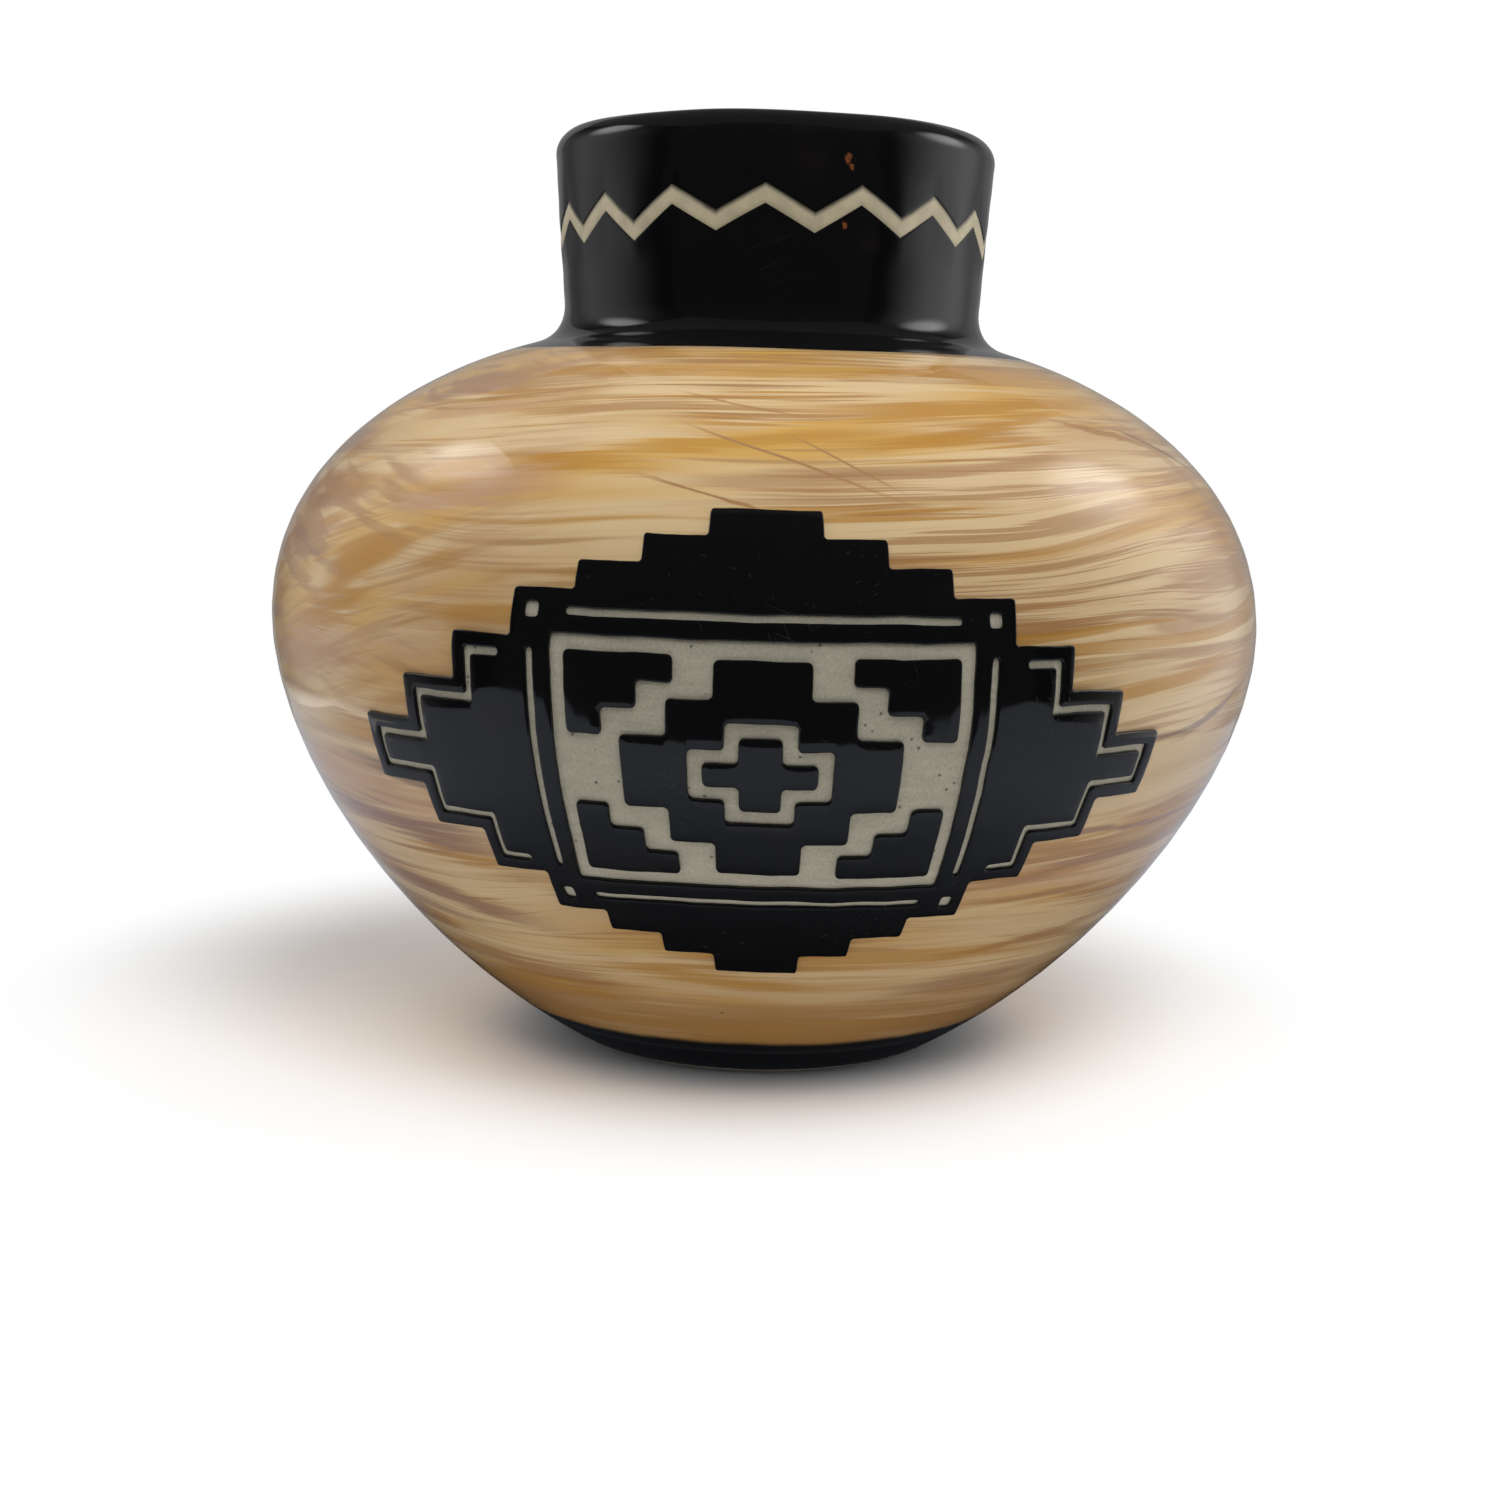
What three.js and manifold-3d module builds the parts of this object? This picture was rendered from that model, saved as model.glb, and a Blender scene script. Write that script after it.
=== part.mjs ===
// A round-bellied pottery vase, built the way a potter builds it: a thrown bowl and a thrown shoulder
// luted together at the belly, a collar neck luted on top and a turned foot ring under the floor.
// A line of cream slip is laid in a zigzag channel carved round the neck, and the front carries
// a stepped medallion of thick raised black glaze. Millimetres, +Z up, the front faces -Y.

import * as THREE from 'three';
import { mergeVertices } from 'three/addons/utils/BufferGeometryUtils.js';
import Module from 'manifold-3d';

const wasm = await Module();
wasm.setup();

// Driving dimensions of the pot

const BELLY_R = 80; // widest radius
const BELLY_Z = 69; // height of the widest line, where bowl and shoulder meet
const HEIGHT = 146.6; // table to the crest of the lip
const WALL = 4.5; // thrown wall of bowl and shoulder
const FLOOR = 6; // floor of the bowl above the foot recess

const FOOT_R = 30.4; // outer radius where the foot meets the table
const FOOT_RING_W = 6.4; // width of the ring's resting face
const FOOT_RING_H = 5; // depth of the turned recess
const FOOT_CHAMFER = 0.8; // worn edge on both sides of the resting face
const FLARE_ANGLE = 60; // degrees from upright at which the wall leaves the foot
const FLARE_REACH = 35.6; // how far that direction carries up the bowl
const BELLY_PULL_LOW = 20; // how long the wall stays near upright below the belly
const BELLY_PULL_HIGH = 27; // and above it
const FLOOR_SWEEP = 8; // soft turn from the floor into the wall, inside

const NECK_BASE_R = 33.3; // outer radius where the neck's line meets the shoulder's
const NECK_TOP_R = 35.2; // outer radius under the lip
const NECK_CORNER_Z = 114; // height where those two lines meet
const NECK_WALL = 6;
const SHOULDER_SLOPE = 11.5; // degrees below level at which the shoulder leaves the neck
const SHOULDER_PULL = 20; // how far that slope carries outwards
const COLLAR_R = 42.4; // outer edge of the collar's seat on the shoulder
const COLLAR_FILLET = 5.5; // smoothed clay in the corner between shoulder and neck
const LIP_OUTER_R = 4.2;
const LIP_INNER_R = 1.8;

// Driving dimensions of the zigzag line

const ZIGZAG_TEETH = 16;
const ZIGZAG_Z = 131.7; // mean height of the line
const ZIGZAG_RISE = 4.4; // valley to peak, along the middle of the line
const ZIGZAG_PHASE = -2; // degrees from the front to the first peak
const ZIGZAG_STRETCH = 0.1; // share by which the hand widens the teeth at the front
const ZIGZAG_STRETCH_WAVES = 3; // how often they widen on the way round the neck
const ZIGZAG_DRIFT = 0.9; // how far the hand drifts up and down round the neck
const ZIGZAG_DRIFT_AT = 12; // degrees from the front to the highest drift
const ZIGZAG_DRIFT_WAVES = 2; // how often it rises and falls on the way round
const LINE_W = 2.4; // width of the carved channel
const CHANNEL_DEPTH = 1.2;
const SLIP_SUNK = 0.2; // the slip lies this far below the glaze around it

// Driving dimensions of the raised glaze medallion, across the wall (width) and along it (height)

const MEDALLION_DROP = 15; // its middle lies this far below the belly line, along the wall
const GLAZE_THICK = 0.8;
const FRAME_W = 70;
const FRAME_H = 49;
const FRAME_BAR = 6; // black glaze left between the frame's edge and the window
const STEPS = 3; // steps on each wing, crest, corner and on the diamond
const WING_STEP = 9.5; // each step reaches this much further sideways
const WING_DROP = 6.5; // and stands this much lower
const CREST_STEP = 4; // each step reaches this much further up or down
const CREST_DRAW = 9; // and is drawn in by this much on each side
const CREAM_LINE = 2; // bare clay left between the window's edge and the corner steps
const CORNER_STEP_W = 5;
const CORNER_STEP_H = 3.8;
const DIAMOND_STEP_W = 6.5;
const DIAMOND_STEP_H = 16 / 3;
const HEART_STEP_W = 5; // the diamond's own window has two steps
const HEART_STEP_H = 3.75;
const HEART_STEPS = 2;
const HEART_GAP = 2; // bare clay round the cross inside it

// Clearance between pieces that are not joined flat face to flat face

const SEAT_GAP = 0.3;

// How finely round forms are cut into facets

const TURN_SEGMENTS = 64;
const WALL_STEPS = 11; // along the bowl's and the shoulder's wall
const EDGE_STEPS = 2; // along the short wall of the foot ring and of the collar's seat
const SWEEP_STEPS = 4;
const FILLET_STEPS = 5;
const LIP_OUTER_STEPS = 6;
const LIP_INNER_STEPS = 4;
const ZIGZAG_STATIONS = 2; // on each slope of the zigzag
const MEDALLION_FACET = 8; // longest facet of the medallion

const radians = THREE.MathUtils.degToRad;
const at = (r, z) => new THREE.Vector2(r, z);

// The outer wall in section: one curve from the foot out to the belly, one from there in to the neck

const flare = radians(FLARE_ANGLE);
const slope = radians(SHOULDER_SLOPE);

const bowlCurve = new THREE.CubicBezierCurve(
  at(FOOT_R, 0),
  at(FOOT_R + FLARE_REACH * Math.sin(flare), FLARE_REACH * Math.cos(flare)),
  at(BELLY_R, BELLY_Z - BELLY_PULL_LOW),
  at(BELLY_R, BELLY_Z),
);
const shoulderCurve = new THREE.CubicBezierCurve(
  at(BELLY_R, BELLY_Z),
  at(BELLY_R, BELLY_Z + BELLY_PULL_HIGH),
  at(NECK_BASE_R + SHOULDER_PULL * Math.cos(slope), NECK_CORNER_Z - SHOULDER_PULL * Math.sin(slope)),
  at(NECK_BASE_R, NECK_CORNER_Z),
);
const bowlLength = bowlCurve.getLength();
const shoulderLength = shoulderCurve.getLength();

// A point of the wall: "up" is the distance along it from the belly line, "out" the distance off it
function wallPoint(up, out = 0) {
  const onBowl = up < 0;
  const curve = onBowl ? bowlCurve : shoulderCurve;
  const share = onBowl ? 1 + up / bowlLength : up / shoulderLength;
  const u = THREE.MathUtils.clamp(share, 0, 1);
  const tangent = curve.getTangentAt(u);
  return curve.getPointAt(u).add(at(tangent.y, -tangent.x).multiplyScalar(out));
}

// The distance along the wall at which its offset line reaches a height or, with "r", a radius
function upWhere(axis, value, out, low, high) {
  const rising = wallPoint(high, out)[axis] > wallPoint(low, out)[axis];
  for (let halving = 0; halving < 40; halving += 1) {
    const middle = (low + high) / 2;
    if (wallPoint(middle, out)[axis] < value === rising) low = middle;
    else high = middle;
  }
  return (low + high) / 2;
}
const upAtHeight = (z, out = 0) => upWhere('y', z, out, -bowlLength, shoulderLength);
const upAtRadius = (r) => upWhere('x', r, 0, 0, shoulderLength);

// Points along the wall between two distances, or along a line off it
function wallRun(from, to, steps, out = 0) {
  const points = [];
  for (let i = 0; i <= steps; i += 1) points.push(wallPoint(from + ((to - from) * i) / steps, out));
  return points;
}

const seatZ = wallPoint(upAtRadius(COLLAR_R)).y; // flat seat of the collar on the shoulder
const boreR = NECK_BASE_R - NECK_WALL;

// The neck's outer radius at a height: a straight line that opens towards the lip
function neckRadius(z) {
  const lipStart = HEIGHT - LIP_OUTER_R;
  return THREE.MathUtils.mapLinear(z, NECK_CORNER_Z, lipStart, NECK_BASE_R, NECK_TOP_R);
}

// Revolve a section that closes on itself, or that starts and ends on the axis
function turned(section) {
  return new THREE.LatheGeometry(section, TURN_SEGMENTS).rotateX(Math.PI / 2);
}

function turnedRing(section) {
  return turned([...section, section[0].clone()]);
}

function footRing() {
  const top = upAtHeight(FOOT_RING_H);
  const inner = FOOT_R - FOOT_RING_W;
  const edge = upAtHeight(FOOT_CHAMFER);
  return turnedRing([
    at(inner, FOOT_CHAMFER),
    at(inner + FOOT_CHAMFER, 0),
    at(FOOT_R - FOOT_CHAMFER / 2, 0),
    ...wallRun(edge, top, EDGE_STEPS),
    at(inner, FOOT_RING_H),
  ]);
}

function lowerBowl() {
  const floorTop = FOOT_RING_H + FLOOR;
  const wallFoot = upAtHeight(floorTop, -WALL);
  const corner = wallPoint(wallFoot, -WALL);
  const sweepEnd = wallPoint(wallFoot + FLOOR_SWEEP, -WALL);
  const sweep = new THREE.QuadraticBezierCurve(sweepEnd, corner, at(corner.x - FLOOR_SWEEP, floorTop));
  return turned([
    at(0, FOOT_RING_H),
    ...wallRun(upAtHeight(FOOT_RING_H), 0, WALL_STEPS),
    ...wallRun(0, wallFoot + FLOOR_SWEEP, WALL_STEPS - 1, -WALL),
    ...sweep.getPoints(SWEEP_STEPS).slice(1),
    at(0, floorTop),
  ]);
}

function shoulder() {
  const shelfZ = seatZ - WALL; // level underside of the shelf that carries the neck
  return turnedRing([
    ...wallRun(0, upAtRadius(COLLAR_R), WALL_STEPS),
    at(boreR, seatZ),
    at(boreR, shelfZ),
    ...wallRun(upAtHeight(shelfZ, -WALL), 0, WALL_STEPS - 1, -WALL),
  ]);
}

function neckCollar() {
  const filletFoot = wallPoint(shoulderLength - COLLAR_FILLET);
  const filletTop = NECK_CORNER_Z + COLLAR_FILLET;
  const fillet = new THREE.QuadraticBezierCurve(
    filletFoot,
    at(NECK_BASE_R, NECK_CORNER_Z),
    at(neckRadius(filletTop), filletTop),
  );
  const lipOuter = new THREE.EllipseCurve(
    NECK_TOP_R - LIP_OUTER_R, HEIGHT - LIP_OUTER_R, LIP_OUTER_R, LIP_OUTER_R, 0, Math.PI / 2,
  );
  const lipInner = new THREE.EllipseCurve(
    NECK_TOP_R - NECK_WALL + LIP_INNER_R, HEIGHT - LIP_INNER_R, LIP_INNER_R, LIP_INNER_R, Math.PI / 2, Math.PI,
  );
  const blank = turnedRing([
    at(boreR, seatZ),
    ...wallRun(upAtRadius(COLLAR_R), shoulderLength - COLLAR_FILLET, EDGE_STEPS),
    ...fillet.getPoints(FILLET_STEPS).slice(1),
    ...lipOuter.getPoints(LIP_OUTER_STEPS),
    ...lipInner.getPoints(LIP_INNER_STEPS).slice(1),
  ]);
  const channel = solid(zigzagBand(LINE_W, CHANNEL_DEPTH, -1));
  return geometryOf(solid(blank).subtract(channel));
}

// A zigzag band round the neck, from "deep" to "shallow" below the neck's surface
function zigzagBand(width, deep, shallow) {
  const slopes = ZIGZAG_TEETH * 2;
  const run = (Math.PI * 2 * neckRadius(ZIGZAG_Z)) / slopes;
  const halfHeight = width / 2 / Math.cos(Math.atan2(ZIGZAG_RISE, run));
  const stations = slopes * ZIGZAG_STATIONS;
  const positions = [];
  for (let i = 0; i < stations; i += 1) {
    const turn = (i / stations) * Math.PI * 2 + radians(ZIGZAG_PHASE);
    const stretch = (ZIGZAG_STRETCH / ZIGZAG_STRETCH_WAVES) * Math.sin(ZIGZAG_STRETCH_WAVES * turn);
    const azimuth = turn + stretch;
    const phase = (i / ZIGZAG_STATIONS) % 2;
    const swing = (0.5 - Math.abs(1 - phase)) * -ZIGZAG_RISE;
    const fromHighest = azimuth - radians(ZIGZAG_DRIFT_AT);
    const drift = ZIGZAG_DRIFT * Math.cos(ZIGZAG_DRIFT_WAVES * fromHighest);
    const middle = ZIGZAG_Z + swing + drift;
    for (const [below, side] of [[deep, -1], [shallow, -1], [shallow, 1], [deep, 1]]) {
      const z = middle + side * halfHeight;
      const r = neckRadius(z) - below;
      positions.push(r * Math.sin(azimuth), -r * Math.cos(azimuth), z);
    }
  }
  const faces = [];
  for (let i = 0; i < stations; i += 1) {
    const next = (i + 1) % stations;
    for (let edge = 0; edge < 4; edge += 1) {
      const after = (edge + 1) % 4;
      quad(faces, i * 4 + edge, next * 4 + edge, next * 4 + after, i * 4 + after);
    }
  }
  return indexed(positions, faces);
}

// Rectangles of the medallion, as [left, right, low, high] from its middle

const centred = (halfW, halfH) => [-halfW, halfW, -halfH, halfH];
const mirrored = ([left, right, low, high]) => [-right, -left, -high, -low];
const count = (n) => Array.from({ length: n }, (_, i) => i);

// Stepped diamond: each rectangle is one step narrower and one step taller than the last
function steppedDiamond(stepW, stepH, steps, inset = 0) {
  return count(steps).map((i) => centred(stepW * (steps - i) - inset, stepH * (i + 1) - inset));
}

const windowHalfW = FRAME_W / 2 - FRAME_BAR;
const windowHalfH = FRAME_H / 2 - FRAME_BAR;

// The black field: the frame, a stepped wing on each side and a stepped crest above and below
function fieldOutline() {
  const wings = count(STEPS).map((i) => {
    const reach = FRAME_W / 2 + i * WING_STEP;
    const halfH = FRAME_H / 2 - (i + 1) * WING_DROP;
    return [reach, reach + WING_STEP, -halfH, halfH];
  });
  const crests = count(STEPS).map((i) => {
    const reach = FRAME_H / 2 + i * CREST_STEP;
    const halfW = FRAME_W / 2 - (i + 1) * CREST_DRAW;
    return [-halfW, halfW, reach, reach + CREST_STEP];
  });
  const oneSide = [...wings, ...crests];
  return [centred(FRAME_W / 2, FRAME_H / 2), ...oneSide, ...oneSide.map(mirrored)];
}

// Steps that fill one corner of the window: side is -1 or 1 across, rise is -1 or 1 up
function cornerSteps(side, rise) {
  const cornerW = windowHalfW - CREAM_LINE;
  const cornerH = windowHalfH - CREAM_LINE;
  return count(STEPS).map((i) => {
    const across = [side * cornerW, side * (cornerW - CORNER_STEP_W * (STEPS - i))];
    const upright = [rise * cornerH, rise * (cornerH - CORNER_STEP_H * (i + 1))];
    return [Math.min(...across), Math.max(...across), Math.min(...upright), Math.max(...upright)];
  });
}

// Sorted lines of a grid that holds every given value and no step longer than a facet
function gridLines(values) {
  const sorted = [...new Set(values.map((v) => Number(v.toFixed(6))))].sort((a, b) => a - b);
  const lines = [sorted[0]];
  for (const next of sorted.slice(1)) {
    const last = lines[lines.length - 1];
    const parts = Math.ceil((next - last) / MEDALLION_FACET);
    for (let i = 1; i <= parts; i += 1) lines.push(last + ((next - last) * i) / parts);
  }
  return lines;
}

// A patch of raised glaze laid on the curved wall: rectangles to fill, less those to leave bare
function raisedGlaze(filled, bare = []) {
  const all = [...filled, ...bare];
  const across = gridLines(all.flatMap(([left, right]) => [left, right]));
  const upright = gridLines(all.flatMap(([, , low, high]) => [low, high]));
  const holds = (list, x, y) => list.some(([l, r, lo, hi]) => x > l && x < r && y > lo && y < hi);
  const isGlazed = (i, j) => {
    if (i < 0 || j < 0 || i > across.length - 2 || j > upright.length - 2) return false;
    const x = (across[i] + across[i + 1]) / 2;
    const y = (upright[j] + upright[j + 1]) / 2;
    return holds(filled, x, y) && !holds(bare, x, y);
  };

  const positions = [];
  const numbers = new Map();
  const corner = (i, j, face) => {
    const key = `${i} ${j} ${face}`;
    if (!numbers.has(key)) {
      numbers.set(key, positions.length / 3);
      const azimuth = across[i] / BELLY_R;
      const p = wallPoint(upright[j] - MEDALLION_DROP, SEAT_GAP + face * GLAZE_THICK);
      positions.push(p.x * Math.sin(azimuth), -p.x * Math.cos(azimuth), p.y);
    }
    return numbers.get(key);
  };

  const faces = [];
  for (let i = 0; i < across.length - 1; i += 1) {
    for (let j = 0; j < upright.length - 1; j += 1) {
      if (!isGlazed(i, j)) continue;
      const round = [[i, j], [i + 1, j], [i + 1, j + 1], [i, j + 1]];
      quad(faces, ...round.map(([a, b]) => corner(a, b, 1)));
      quad(faces, ...round.map(([a, b]) => corner(a, b, 0)).reverse());
      const beside = [[i, j - 1], [i + 1, j], [i, j + 1], [i - 1, j]];
      beside.forEach(([a, b], edge) => {
        if (isGlazed(a, b)) return;
        const [from, to] = [round[edge], round[(edge + 1) % 4]];
        quad(faces, corner(...from, 0), corner(...to, 0), corner(...to, 1), corner(...from, 1));
      });
    }
  }
  return indexed(positions, faces);
}

// Small helpers for meshes and solids

function quad(faces, a, b, c, d) {
  faces.push(a, b, c, a, c, d);
}

function indexed(positions, faces) {
  const geometry = new THREE.BufferGeometry();
  geometry.setAttribute('position', new THREE.Float32BufferAttribute(positions, 3));
  geometry.setIndex(faces);
  geometry.computeVertexNormals();
  return geometry;
}

function solid(geometry) {
  const bare = geometry.clone();
  bare.deleteAttribute('normal');
  bare.deleteAttribute('uv');
  const merged = mergeVertices(bare, 1e-4);
  return new wasm.Manifold(new wasm.Mesh({
    numProp: 3,
    vertProperties: new Float32Array(merged.attributes.position.array),
    triVerts: new Uint32Array(merged.index.array),
  }));
}

function geometryOf(manifold) {
  const mesh = manifold.getMesh();
  return indexed([...mesh.vertProperties], [...mesh.triVerts]);
}

// Materials

const material = (name, color, roughness) => {
  return new THREE.MeshStandardMaterial({ name, color, roughness, metalness: 0 });
};
const blackGlaze = material('black_glaze', 0x14141a, 0.12);
const brushedGlaze = material('brushed_glaze', 0xc9a06c, 0.15);
const creamSlip = material('cream_slip', 0xc9c2ac, 0.7);

// The vase

const vase = new THREE.Group();
vase.name = 'pottery_vase';

function place(name, geometry, finish) {
  const mesh = new THREE.Mesh(geometry, finish);
  mesh.name = name;
  vase.add(mesh);
}

place('foot_ring', footRing(), blackGlaze);
place('lower_bowl', lowerBowl(), brushedGlaze);
place('shoulder', shoulder(), brushedGlaze);
place('neck_collar', neckCollar(), blackGlaze);
place('neck_zigzag', zigzagBand(LINE_W - 2 * SEAT_GAP, CHANNEL_DEPTH - SEAT_GAP, SLIP_SUNK), creamSlip);

const diamond = steppedDiamond(DIAMOND_STEP_W, DIAMOND_STEP_H, STEPS);
const heart = steppedDiamond(HEART_STEP_W, HEART_STEP_H, HEART_STEPS);
const cross = steppedDiamond(HEART_STEP_W, HEART_STEP_H, HEART_STEPS, HEART_GAP);

place('glaze_field', raisedGlaze(fieldOutline(), [centred(windowHalfW, windowHalfH)]), blackGlaze);
place('glaze_diamond', raisedGlaze(diamond, heart), blackGlaze);
place('glaze_cross', raisedGlaze(cross), blackGlaze);
for (const [sideName, side] of [['left', -1], ['right', 1]]) {
  for (const [riseName, rise] of [['top', 1], ['bottom', -1]]) {
    place(`glaze_corner_${riseName}_${sideName}`, raisedGlaze(cornerSteps(side, rise)), blackGlaze);
  }
}

export default vase;
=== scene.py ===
"""Round-bellied pottery vase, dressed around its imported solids.

Every clay wall is a section spun round the axis. The front carries a stepped medallion of raised
black glaze, laid out flat and wrapped onto the wall, and a zigzag line of cream slip runs round
the neck. Metres, +Z up, the decorated front faces -Y.
"""

import math

import bpy
import numpy as np
from bpy.props import FloatProperty, FloatVectorProperty, IntProperty, PointerProperty
from mathutils import Matrix, Vector, noise


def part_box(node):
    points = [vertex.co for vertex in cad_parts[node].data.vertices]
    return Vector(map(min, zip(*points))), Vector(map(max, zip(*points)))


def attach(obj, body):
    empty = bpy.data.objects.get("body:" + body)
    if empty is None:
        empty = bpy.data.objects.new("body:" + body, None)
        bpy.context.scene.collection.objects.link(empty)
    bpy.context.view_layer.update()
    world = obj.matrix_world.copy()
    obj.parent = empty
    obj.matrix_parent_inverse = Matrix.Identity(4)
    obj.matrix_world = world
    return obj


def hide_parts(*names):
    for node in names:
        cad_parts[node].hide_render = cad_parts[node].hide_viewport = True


bl_info = {
    "name": "Brushed pottery vase",
    "version": (1, 0, 0),
    "blender": (4, 5, 0),
    "location": "View3D > Sidebar > Vase",
    "description": "Makes a glazed pottery vase, piece by piece, around its packed solids",
    "category": "Object",
}

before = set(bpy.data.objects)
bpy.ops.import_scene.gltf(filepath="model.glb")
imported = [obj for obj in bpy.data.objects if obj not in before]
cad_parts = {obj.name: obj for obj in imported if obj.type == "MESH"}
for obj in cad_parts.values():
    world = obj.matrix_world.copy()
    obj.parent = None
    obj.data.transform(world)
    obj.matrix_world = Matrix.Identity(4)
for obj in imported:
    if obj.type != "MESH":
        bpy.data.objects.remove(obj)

MM = 0.001
BODY = "root"
TURN = 2 * math.pi

bowl_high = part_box("lower_bowl")[1]
foot_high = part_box("foot_ring")[1]
collar_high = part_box("neck_collar")[1]


# Sizes and colours that a user would change


def length(name, description, default):
    """A length in metres, with its default."""
    return FloatProperty(name=name, description=description, default=default, unit="LENGTH", precision=5)


def angle(name, description, default):
    """An angle, with its default in degrees."""
    return FloatProperty(name=name, description=description, default=math.radians(default), subtype="ANGLE")


def colour(name, description, default):
    """A colour in linear light, with its default."""
    return FloatVectorProperty(
        name=name, description=description, default=default, subtype="COLOR", size=3, min=0.0, max=1.0
    )


def amount(name, description, default):
    """A plain factor, with its default."""
    return FloatProperty(name=name, description=description, default=default, subtype="FACTOR")


def whole(name, description, default):
    """A whole number, with its default."""
    return IntProperty(name=name, description=description, default=default, min=1)


class VasePot(bpy.types.PropertyGroup):
    """Sizes of the thrown body and its foot."""

    belly_radius: length("Belly radius", "Widest radius of the body", bowl_high.x)
    belly_height: length("Belly height", "Height of the widest line", bowl_high.z)
    wall: length("Wall", "Thickness of the thrown wall", 4.5 * MM)
    floor: length("Floor", "Thickness of the floor above the foot's recess", 6 * MM)
    floor_sweep: length("Floor sweep", "Soft turn from the floor into the wall", 8 * MM)
    foot_radius: length("Foot radius", "Outer radius on the table", 30.4 * MM)
    foot_width: length("Foot width", "Width of the resting ring", 6.4 * MM)
    foot_height: length("Foot height", "Depth of the recess under the floor", foot_high.z)
    foot_round: length("Foot rounding", "Worn rounding on both sides of the resting ring", 0.8 * MM)
    flare_angle: angle("Flare angle", "From upright, where the wall leaves the foot", 60)
    flare_reach: length("Flare reach", "How far that direction carries up the bowl", 35.6 * MM)
    pull_low: length("Pull below", "How long the wall stays near upright below the belly", 20 * MM)
    pull_high: length("Pull above", "How long it stays near upright above the belly", 27 * MM)
    sway: length("Sway", "How far the thrown wall strays off its true line", 0.22 * MM)
    rings: length("Throwing rings", "Height of the faint rings that the fingers leave", 0.025 * MM)
    columns: whole("Columns", "Faces round the body", 256)


class VaseNeck(bpy.types.PropertyGroup):
    """Sizes of the collar neck, its lip and its zigzag line."""

    height: length("Height", "Table to the crest of the lip", collar_high.z)
    seat_radius: length("Seat radius", "Outer edge of the collar on the shoulder", collar_high.x)
    base_radius: length("Base radius", "Outer radius where neck and shoulder meet", 33.3 * MM)
    top_radius: length("Top radius", "Outer radius under the lip", 35.2 * MM)
    corner: length("Corner height", "Height where the neck's line meets the shoulder's", 114 * MM)
    wall: length("Wall", "Thickness of the neck", 6 * MM)
    slope: angle("Shoulder slope", "Below level, where the shoulder leaves the neck", 11.5)
    pull: length("Shoulder pull", "How far that slope carries outwards", 20 * MM)
    fillet: length("Fillet", "Smoothed clay between shoulder and neck", 5.5 * MM)
    lip_outer: length("Lip outside", "Outer rounding of the lip", 4.2 * MM)
    lip_inner: length("Lip inside", "Inner rounding of the lip", 1.8 * MM)
    teeth: whole("Zigzag teeth", "Peaks round the neck", 16)
    line_height: length("Line height", "Mean height of the zigzag line", 131.7 * MM)
    line_rise: length("Line rise", "Valley to peak, along its middle", 4.4 * MM)
    line_width: length("Line width", "Width of the slip line", 2.55 * MM)
    line_phase: angle("Line phase", "From the front to the first peak", -2)
    line_stretch: amount("Line stretch", "Share by which the hand widens the teeth", 0.1)
    line_drift: length("Line drift", "How far the hand drifts up and down", 0.9 * MM)
    line_drift_at: angle("Drift place", "From the front to the highest drift", 12)
    line_wander: length("Line wander", "How unevenly the teeth are drawn", 0.35 * MM)


class VaseMedallion(bpy.types.PropertyGroup):
    """Sizes of the stepped medallion, across the wall and along it."""

    drop: length("Drop", "From the belly line down to its middle", 15 * MM)
    frame_width: length("Frame width", "Outer width of the frame", 70 * MM)
    frame_height: length("Frame height", "Outer height of the frame", 49 * MM)
    bar: length("Bar", "Black left between the frame's edge and the window", 6 * MM)
    steps: whole("Steps", "Steps on each wing, crest, corner and on the diamond", 3)
    wing_step: length("Wing step", "How much further each wing step reaches", 9.5 * MM)
    wing_drop: length("Wing drop", "How much lower each wing step stands", 6.5 * MM)
    crest_step: length("Crest step", "How much further each crest step reaches", 4 * MM)
    crest_draw: length("Crest draw", "How much each crest step is drawn in", 9 * MM)
    cream_line: length("Cream line", "Bare clay beside the window's edge", 2 * MM)
    corner_width: length("Corner step width", "Width of each corner step", 5 * MM)
    corner_height: length("Corner step height", "Height of each corner step", 3.8 * MM)
    diamond_width: length("Diamond step width", "Half width of each diamond step", 6.5 * MM)
    diamond_height: length("Diamond step height", "Half height of each diamond step", 16 / 3 * MM)
    heart_width: length("Heart step width", "Half width of each step of its window", 5 * MM)
    heart_height: length("Heart step height", "Half height of each step of its window", 3.75 * MM)
    heart_steps: whole("Heart steps", "Steps of the diamond's own window", 2)
    heart_gap: length("Heart gap", "Bare clay round the cross inside it", 2 * MM)
    proud: length("Proud", "How far the black glaze stands off the clay", 0.6 * MM)
    groove: length("Groove", "Width of the carved cream lines", 1 * MM)
    groove_inset: length("Groove inset", "Black left outside a carved line", 2 * MM)
    edge_round: length("Edge rounding", "Rounding of the glaze's upper edge", 0.32 * MM)
    corner_round: length("Corner rounding", "Rounding of its corners in plan", 0.75 * MM)
    wobble: length("Hand wobble", "How far the cut edges stray", 0.22 * MM)
    facet: length("Facet", "Longest facet", 1.8 * MM)


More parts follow.
